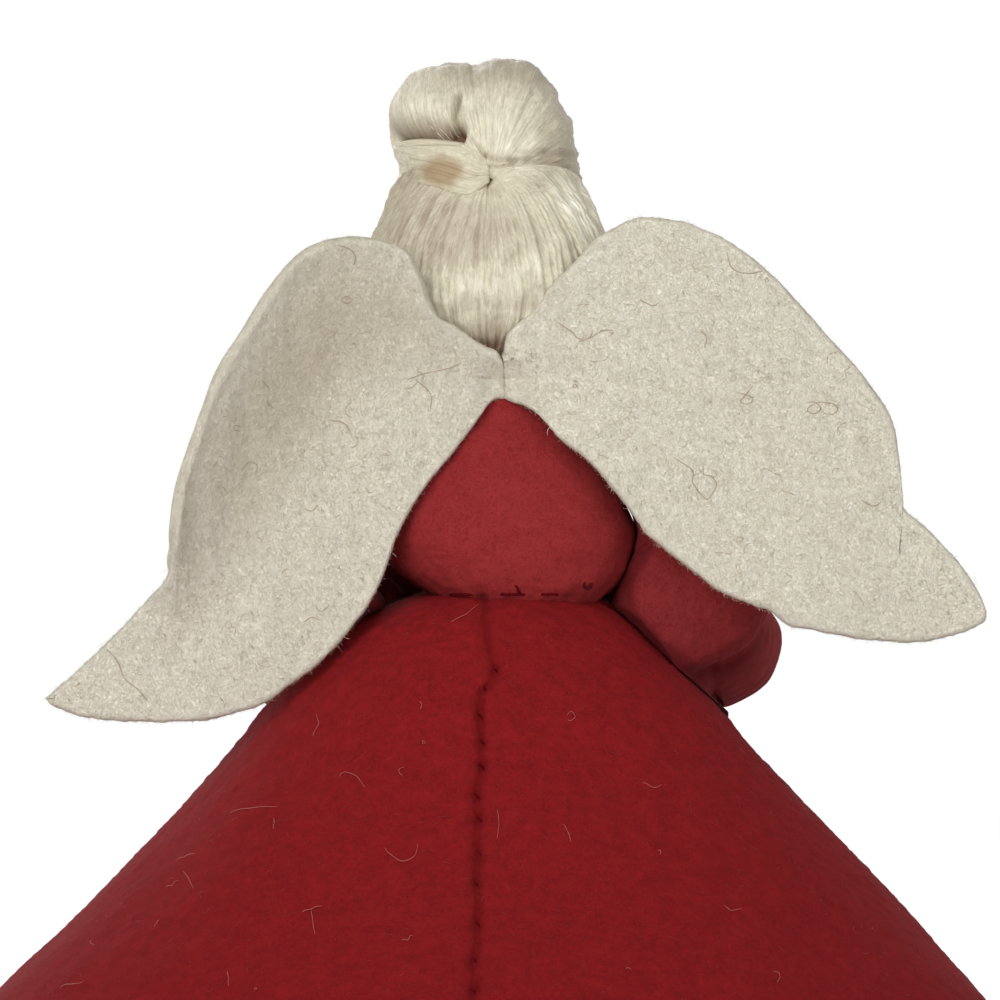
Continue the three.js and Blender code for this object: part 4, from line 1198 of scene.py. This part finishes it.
# Each outline's hollow value is how much painted shade the wing takes in the hollow inside its curled rim.
left_outline = {  # along X and up as seen from behind; curl of the upper and lower rim
    "upper": [
        [-2.1, 106.9], [-0.9, 108.8], [2.2, 110.5], [5.2, 112.7], [7.2, 113.6], [8.6, 116.0], [10.2, 120.1],
        [11.5, 122.6], [13.5, 123.9], [15.9, 124.6], [19.7, 124.9], [23.2, 124.3], [26.7, 122.5], [30.9, 117.6],
        [34.4, 112.0], [37.9, 106.4], [40.0, 100.8], [42.0, 95.2], [43.5, 90.3], [44.2, 85.4], [44.6, 81.4],
        [45.3, 77.4], [48.6, 73.6], [53.0, 69.0], [58.2, 64.0], [62.4, 60.4],
    ],
    "lower": [
        [-2.3, 102.5], [0.3, 101.6], [5.0, 95.2], [8.5, 91.0], [11.3, 86.8], [13.4, 82.6], [14.8, 78.4],
        [16.7, 74.2], [19.7, 70.0], [23.9, 65.5], [28.1, 62.3], [32.1, 59.6], [36.5, 58.2], [41.4, 57.3],
        [49.1, 57.3], [56.1, 57.8], [60.3, 59.1], [62.3, 60.5],
    ],
    "curl": (11.9, 1.6), "hollow": 0.8,
}
right_outline = {
    "upper": [
        [-1.6, 106.9], [-2.0, 110.3], [-2.9, 112.2], [-5.9, 114.8], [-8.0, 117.8], [-11.2, 121.0], [-14.4, 124.6],
        [-16.7, 126.0], [-20.9, 127.7], [-26.5, 127.1], [-32.4, 124.8], [-37.7, 121.0], [-41.4, 117.4],
        [-47.5, 110.6], [-52.4, 105.0], [-55.9, 99.4], [-57.0, 93.8], [-57.5, 88.2], [-57.6, 87.1],
        [-61.3, 83.8], [-65.2, 79.6], [-68.0, 75.5], [-69.2, 72.6],
    ],
    "lower": [
        [-1.7, 102.5], [-3.0, 101.9], [-6.2, 100.5], [-9.9, 96.6], [-14.2, 93.1], [-16.4, 90.4], [-19.3, 86.9],
        [-21.7, 83.5], [-24.6, 81.1], [-30.0, 76.8], [-33.7, 74.6], [-38.6, 72.8], [-41.8, 70.6], [-44.5, 70.1],
        [-48.2, 69.4], [-51.7, 68.8], [-57.3, 68.3], [-61.5, 68.6], [-65.7, 69.7], [-68.7, 71.1], [-69.2, 72.6],
    ],
    "curl": (1.5, 2.2), "hollow": 0.0,
}
curl_shares = smooth_line([  # share of the wing's length, share of its curl
    [0, 0], [0.1, 0.2], [0.25, 0.62], [0.42, 0.93], [0.58, 1.0], [0.7, 0.92], [0.76, 0.6], [0.82, 0.2],
    [0.88, 0.04], [1, 0],
], 300)


def wing_grid(outline):
    """The middle of a wing's felt and half its thickness. Points run between its lower and
    upper edges and crowd at them, where the thickness falls to nothing round a half circle.
    The wing lies back with its reach, curls at its rims, and is drawn in where it is sewn."""
    across_steps, along_steps = 132, 260
    top, low = smooth_line(outline["upper"], along_steps), smooth_line(outline["lower"], along_steps)
    along = np.linspace(0, 1, along_steps)[:, None]
    width = np.linalg.norm(top - low, axis=1)[:, None]
    k = np.linspace(0, 1, across_steps)[None]
    edge_share = 6 / (across_steps - 1)
    rim = np.clip(WING_FELT / 2 / np.maximum(width, 1e-6), 0, 0.45)
    near_low, near_top = part(k / edge_share) * np.pi / 2, part((1 - k) / edge_share) * np.pi / 2
    inner = part((k - edge_share) / (1 - 2 * edge_share))
    rise = rim * (1 - np.cos(near_low)) + (1 - 2 * rim) * inner + rim * np.cos(near_top)
    flat = low[:, None] * (1 - rise[..., None]) + top[:, None] * rise[..., None]
    reach = np.abs(flat[..., 0] - WING_SEAM)
    curl = np.interp(along, *curl_shares.T)
    upper, lower = outline["curl"]
    bent = upper * part((rise - 0.38) / 0.62) ** 1.8 + lower * (1 - rise) ** 3
    depth = WING_FACE + WING_FELT / 2 + WING_SWEEP * reach + curl * bent
    depth -= 2.3 * bell(reach, 4.5) * part((108.5 - flat[..., 1]) / 3)
    depth += 0.35 * np.sin(flat[..., 0] / 6 + flat[..., 1] / 9) * part(reach / 12)
    depth += 0.2 * np.sin(flat[..., 0] / 3.1 - flat[..., 1] / 4.3 + 1) * part(reach / 12)
    middle = np.stack([flat[..., 0], depth, flat[..., 1]], -1)
    half = WING_FELT / 2 * np.sin(np.minimum(near_low, near_top)) * part(width / WING_FELT) ** 0.5
    return middle, half * np.sqrt(1 - (1 - part(along * (along_steps - 1) / 5)) ** 2)


def flex(piece, material):
    """Gives a piece of a wing its material and bakes its place into its mesh."""
    piece.data.materials.append(material)
    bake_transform(piece)


def wing(name, outline, seed):
    """A closed felt sheet round the wing's middle, with round cut edges and uneven faces. Its
    colour takes painted shade in the hollow inside the curled rim, and is darker along its cut edges."""
    middle, half = wing_grid(outline)
    across, along = np.linspace(0, 1, half.shape[1])[None], np.linspace(0, 1, half.shape[0])[:, None]
    hollow = bell(across - 0.71, 0.17) * np.interp(along, *curl_shares.T)
    hollow *= part((0.62 - along) / 0.3) ** 0.5
    hollow = np.maximum(hollow, 0.7 * bell(along - 0.33, 0.1) * bell(across - 0.72, 0.2))
    normal = face_normals(middle)
    normal *= np.sign(normal[..., 1:2])
    bumps = lumps(middle, seed, [(6.0, 0.09), (2.4, 0.035), (1.1, 0.022)]) * part(half / 0.3)
    edge = lumps(middle, seed + 1, [(3.4, 0.05), (1.0, 0.035)]) * part(1 - half / WING_FELT * 2)
    outward = unit(np.gradient(middle, axis=1)) * np.where(np.arange(half.shape[1]) < 60, -1, 1)[None, :, None]
    middle = middle + outward * edge[..., None]
    face, back = middle + normal * (half + bumps)[..., None], middle - normal * half[..., None]
    # Painted shade in the hollow inside the curled rim, and a darker colour along the cut edges.
    shade = part(1 - half / WING_FELT * 2.2) * 0.35 + outline["hollow"] * hollow
    piece = lens(f"{name}_felt", face, back, middle[..., [0, 2]], shade)
    flex(piece, ivory_felt)
    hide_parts(name)
    return piece, (face, normal, back)


left_wing, left_grids = wing("left_wing", left_outline, 51)
right_wing, right_grids = wing("right_wing", right_outline, 61)

# Stray fibres: single hairs of grey-brown wool on the wings and pale ones on the skirt, most
# of them in small loops and hooks, caught in the felt at their ends.


def fibre_material(name, deep, pale):
    """One coarse hair: its colour changes along it, with a faint gloss."""
    material, tree, shader = new_material(name)
    change = noise(tree, object_place(tree), 500.0, 2.0)
    finish(shader, blend_colours(tree, change, deep, pale), change, 0.2, 0.00003, {"Roughness": 0.6})
    return material


PICTURE_STEP, PICTURE_ZERO = 0.14, np.array([491.0, 1130.0])  # millimetres; steps right and down


def picture_place(lines):
    """Lines given in steps right and down from the picture's upper left, as places behind the
    angel, along X and up."""
    return [(PICTURE_ZERO - np.array(line)) * PICTURE_STEP for line in lines]


def lay_on(face, lines):
    """Smooth lines laid on a wing: each point takes the place of the nearest point of the
    wing's grid, as seen from behind, and stands a little off it."""
    flat, share, laid = face.reshape(-1, 3), np.linspace(0, 1, 34), []
    rise = 0.1 * (1 + 0.9 * np.sin(9 * share)) * np.sin(np.pi * share) ** 0.5 - 0.04
    for line in lines:
        smooth = smooth_line(line, 34)
        near = np.argmin(((flat[None, :, [0, 2]] - smooth[:, None]) ** 2).sum(-1), 1)
        depth = flat[near, 1] + rise
        depth[1:-1] = np.convolve(depth, np.ones(3) / 3, "valid")
        laid.append(np.stack([smooth[:, 0], depth, smooth[:, 1]], -1))
    return np.array(laid)


def curly_hairs(box, count, seed, size):
    """Random short hairs inside a box behind the angel: each turns by an angle that changes
    as a slow sine along it, so it makes a hook or a loop."""
    random = np.random.default_rng(seed)
    low_x, low_z, high_x, high_z = box
    hairs = []
    for _ in range(count):
        t = np.linspace(0, 1, 12)
        heading = random.uniform(0, 6.3) + random.normal(0, 3.2) * t + random.normal(0, 1.2) * np.sin(6 * t)
        step = random.uniform(*size) / 12
        x = random.uniform(low_x, high_x) + np.cumsum(np.cos(heading)) * step
        z = random.uniform(low_z, high_z) + np.cumsum(np.sin(heading)) * step
        hairs.append(np.stack([x, z], -1))
    return hairs


wool_hair = fibre_material("wool_hair", colour(150, 128, 108), colour(186, 170, 146))
# The longer hairs of each wing, where the picture shows them
right_hairs = picture_place([
    [(672.9, 457), (692, 470.6), (692, 482), (701.6, 495.5), (707.3, 499.3), (713, 491.7), (716, 484), (711, 476.3),
     (702.5, 474.4), (698.7, 468.7)],
    [(556, 322), (571, 331.5), (579, 339), (589.7, 338.4), (602, 330.8), (614, 330.8)],
    [(803, 404), (812, 402), (820, 408), (814, 414), (806, 410), (816, 403), (832, 404), (837, 410), (830, 415),
     (822, 412)],
    [(737, 392), (752, 398), (748, 404), (740, 402), (745, 395), (752, 386)],
    [(726, 252), (731, 268), (745, 274), (765, 271)],
    [(578, 342), (590, 337), (592, 330)],
    [(575, 384), (577, 386), (575, 388), (573, 386), (575, 384)],
    [(640, 300), (652, 306), (660, 302)],
    [(700, 330), (706, 338), (704, 348)],
    [(860, 500), (872, 506), (880, 502)],
])
left_hairs = picture_place([
    [(406, 380.5), (424, 374), (450, 368), (462.7, 362)],
    [(415, 379), (430.5, 394), (430.5, 409.6)],
    [(341, 300), (347, 297), (352, 301), (347, 304), (341, 301)],
    [(338, 246), (350, 250), (356, 258), (354, 266)],
    [(243, 470), (250, 462), (258, 466), (256, 474)],
    [(304, 508), (312, 511), (318, 505)],
    [(105, 646), (118, 660), (126, 678), (140, 690), (150, 702)],
    [(304, 622), (312, 617), (320, 620)],
    [(262, 380), (270, 390), (268, 402), (276, 410)],
    [(330, 420), (345, 424), (352, 436)],
])
left_small = curly_hairs((8, 62, 38, 116), 26, 71, (1.0, 3.4))
right_small = curly_hairs((-53, 74, -9, 120), 34, 72, (1.0, 3.4))


def inside_wing(hairs, face):
    """The hairs whose every point has felt close under it."""
    flat = face.reshape(-1, 3)[:, [0, 2]]
    return [h for h in hairs if np.sqrt(((flat[None] - h[:, None]) ** 2).sum(-1).min(1)).max() < 0.3]


def short_curls(random, count, size):
    """Short curled hairs as places on a small flat patch: each turns by an angle that changes
    as a slow sine along it."""
    t = np.linspace(0, 1, 6)
    heading = random.uniform(0, 6.3, (count, 1)) + random.normal(0, 2.0, (count, 1)) * t
    heading = heading + random.normal(0, 1.0, (count, 1)) * np.sin(6 * t)
    step = random.uniform(*size, (count, 1)) / 6
    return np.cumsum(np.cos(heading), 1) * step, np.cumsum(np.sin(heading), 1) * step


def thin_ends(cut, count):
    """A hair's share of its full thickness along it: the root of half a sine wave, cut off this
    near to each end."""
    return np.sin(np.pi * np.linspace(cut, 1 - cut, count)) ** 0.5


def wing_fuzz(name, face, normal, back, count, edge_count, seed):
    """The felt's own fibres. Curls lie on both faces at grid points drawn by their area, on
    the plane of the grid's two steps there, and short ones stand out from the cut edges."""
    random = np.random.default_rng(seed)
    rows, cols, _ = face.shape
    area = np.linalg.norm(np.cross(np.gradient(face, axis=0), np.gradient(face, axis=1)), axis=-1)
    area[:, :8] = area[:, -8:] = area[:4] = 0
    pick = random.choice(rows * cols, count, p=(area / area.sum()).ravel())
    step_along = unit(np.gradient(face, axis=0))
    first, out = step_along.reshape(-1, 3)[pick], normal.reshape(-1, 3)[pick]
    behind = (random.uniform(size=(count, 1)) < 0.65).astype(float)
    base = face.reshape(-1, 3)[pick] * behind + back.reshape(-1, 3)[pick] * (1 - behind)
    u, v = short_curls(random, count, (0.8, 2.6))
    lift = (0.05 + 0.05 * random.uniform(size=(count, 1)) * np.sin(np.pi * np.linspace(0, 1, 6))) * (2 * behind - 1)
    lying = base[:, None] + sum(
        share[..., None] * way[:, None] for share, way in ((u, first), (v, np.cross(out, first)), (lift, out))
    )
    row = random.integers(4, rows - 2, edge_count)
    upper = random.uniform(size=edge_count) < 0.5
    rim = np.where(upper, cols - 1, 0)
    at, inside = face[row, rim], face[row, np.where(upper, cols - 10, 9)]
    aim = 0.7 * unit(at - inside) + step_along[row, rim] * random.normal(0, 1.2, (edge_count, 1))
    aim = unit(aim + random.normal(0, 0.3, (edge_count, 3)))
    bend = random.normal(0, 0.6, (edge_count, 3))
    t = np.linspace(-0.15, 1, 6)[None, :, None]
    standing = at[:, None] + random.uniform(0.12, 0.4, (edge_count, 1, 1)) * (aim[:, None] * t + bend[:, None] * t**2)
    standing[..., 1] -= 0.25
    thick = np.repeat([0.034, 0.015], [count, edge_count])[:, None]
    return threads(name, np.concatenate([lying, standing]), thick * thin_ends(0.12, 6), sides=3)


felt_hair = fibre_material("felt_hair", colour(196, 188, 166), colour(230, 224, 207))
for name, hairs, small, (face, normal, back) in (
    ("left_wing", left_hairs, left_small, left_grids), ("right_wing", right_hairs, right_small, right_grids),
):
    laid = lay_on(face, hairs + inside_wing(small, face))
    thick = np.concatenate([np.full(len(hairs), 0.08), np.full(len(laid) - len(hairs), 0.045)])[:, None]
    flex(threads(f"{name}_hairs", laid, thick * thin_ends(0.1, 34), sides=5), wool_hair)
    flex(wing_fuzz(f"{name}_fuzz", face, normal, back, 1700, 1500, len(name)), felt_hair)

pale_hair = fibre_material("pale_hair", colour(150, 66, 62), colour(186, 106, 96))
skirt_hairs = picture_place([
    [(229, 813), (245, 808), (262, 806), (282, 804.5)], [(276, 815.5), (277, 821), (276, 827)],
    [(161, 851), (171, 846), (182, 842)], [(177, 859), (188, 855), (198, 851)], [(185, 868), (192, 876), (198, 885.5)],
    [(315, 712), (318, 723.6), (311, 737)], [(341, 776), (347, 771), (358.5, 774), (368, 786)],
    [(384, 841), (391, 850), (404, 857), (416, 852), (419, 838)], [(303, 907), (313, 904), (324, 900)],
    [(313, 904), (315, 916), (317, 928)], [(65, 985), (74, 981), (85, 980), (90, 975)],
    [(497, 805), (499, 820), (497, 835)], [(562, 820), (567, 829), (570, 838)],
    [(566, 715), (571, 711), (575, 716), (570, 720), (566, 716)], [(480, 603), (470, 612), (458, 619), (448, 623)],
    [(113, 903), (114, 905), (113, 906)], [(640, 780), (652, 786), (660, 782)], [(720, 900), (728, 906), (740, 904)],
    [(420, 700), (423, 704), (421, 708)],
])
lines = np.array([smooth_line(line, 26) for line in skirt_hairs + curly_hairs((-60, 3, 60, 58), 26, 73, (0.8, 2.6))])
lines = lines[(np.abs(lines[..., 0]) < skirt_radius(lines[..., 1]) - 4).all(1)]
share = np.linspace(0, 1, 26)
lift = 0.1 + 0.14 * np.abs(np.sin(7 * share)) - 0.3 * (2 * share - 1) ** 8
on_skirt = skirt_place(lines[..., 0] - seam_side(lines[..., 1]), lines[..., 1], lift + 0 * lines[..., 0])
dress(threads("skirt_hairs", on_skirt, 0.042 * thin_ends(0.1, 26), sides=5), "doll", pale_hair)

random = np.random.default_rng(74)
count = 1500
u, v = short_curls(random, count, (0.7, 2.4))
height = np.clip(72 * random.uniform(size=(count, 1)) ** 1.5 + 0.67 * v, 0.5, 72)
radius = skirt_radius(height)
around = random.uniform(0, 2 * np.pi, (count, 1)) + u / radius
lying = skirt_point(radius, height, around)[0] + skirt_out(around) * 0.07
red_hair = fibre_material("red_hair", colour(112, 12, 16), colour(146, 40, 42))
dress(threads("skirt_fuzz", lying, 0.028 * thin_ends(0.12, 6), sides=3), "doll", red_hair)

# Wing stitches: ivory cotton that holds the wings' inner edges to the bodice.

ivory_thread = thread_material("ivory_thread", colour(206, 196, 172), colour(232, 226, 208))
zigzag = np.linspace(0, 1, 25)
thread_depth = np.interp(zigzag, np.linspace(0, 1, 7), [9.4, 8.6, 9.3, 8.4, 9.2, 8.2, 9.2])
thread_line = np.stack([WING_SEAM + 0.25 * np.sin(19 * zigzag), thread_depth, 102.8 + 4.0 * zigzag], -1)
dress(threads("wing_stitches", thread_line[None], 0.25), "doll", ivory_thread, ["wing_thread"])

# Studio: a pale floor under a white sky, one broad lamp up and to the left of the camera, a
# weaker one to its right and one before the face, and a long lens level with the bodice,
# behind the angel.


def seen_rays(tree):
    """1 for rays from the camera and for those seen in gloss or through glass, else 0."""
    light = new_node(tree, "ShaderNodeLightPath").outputs
    seen = sums(tree, "MAXIMUM", light["Is Camera Ray"], light["Is Glossy Ray"])
    return sums(tree, "MAXIMUM", seen, light["Is Transmission Ray"])


def stage_material(name):
    """Pale matt paint. Seen rays find it near white before its own shade is added, so it is
    white in the light and the shadow stays."""
    material, tree, shader = new_material(name)
    feed(shader.inputs["Base Color"], (0.85, 0.85, 0.85, 1))
    feed(shader.inputs["Roughness"], 0.9)
    white = new_node(tree, "ShaderNodeEmission", {"Color": (1, 1, 1, 1), "Strength": 0.9}).outputs[0]
    some = new_node(tree, "ShaderNodeMixShader", {0: 0.25, 2: shader.outputs[0]}).outputs[0]
    both = new_node(tree, "ShaderNodeAddShader", {0: white, 1: some}).outputs[0]
    mixed = new_node(tree, "ShaderNodeMixShader", {0: seen_rays(tree), 1: shader.outputs[0], 2: both}).outputs[0]
    feed(tree.nodes["Material Output"].inputs[0], mixed)
    return material


floor_mesh = bpy.data.meshes.new("floor")
floor_mesh.from_pydata([(-3, -3, 0), (3, -3, 0), (3, 3, 0), (-3, 3, 0)], [], [(0, 1, 2, 3)])
floor = place_object("floor", floor_mesh)
floor_mesh.materials.append(stage_material("pale_floor"))

world = bpy.data.worlds.new("studio")
bpy.context.scene.world = world
world.use_nodes = True
sky = world.node_tree
feed(sky.nodes["Background"].inputs["Color"], (1, 1, 1, 1))
feed(sky.nodes["Background"].inputs["Strength"], map_range(sky, seen_rays(sky), 0.0, 1.0, 0.38, 1.0))


def lamp(name, place, target, size, power):
    """A square lamp that faces a target. Places and size are in metres."""
    data = bpy.data.lights.new(name, "AREA")
    data.size, data.energy = size, power
    item = place_object(name, data)
    item.location = place
    item.rotation_euler = (Vector(target) - Vector(place)).to_track_quat("-Z", "Y").to_euler()


lamp("key", (0.62, 1.4, 0.62), (0, 0, 0.09), 1.0, 17.5)
lamp("fill", (-0.9, 1.1, 0.35), (0, 0, 0.08), 1.0, 5.6)
lamp("front", (0.3, -1.0, 0.6), (0, 0, 0.08), 0.8, 5.0)

CAMERA_AWAY, FRAME_WIDE, SENSOR = 3.0, 0.140, 36
camera_data = bpy.data.cameras.new("camera")
camera_data.sensor_width = SENSOR
camera_data.lens = SENSOR * CAMERA_AWAY / FRAME_WIDE
camera_data.clip_end = 20
camera = place_object("camera", camera_data)
camera.location = (-0.00126, CAMERA_AWAY + 0.01, 0.0882)
camera.rotation_euler = (np.pi / 2, 0, np.pi)
bpy.context.scene.camera = camera
bpy.context.scene.view_settings.view_transform = "Standard"
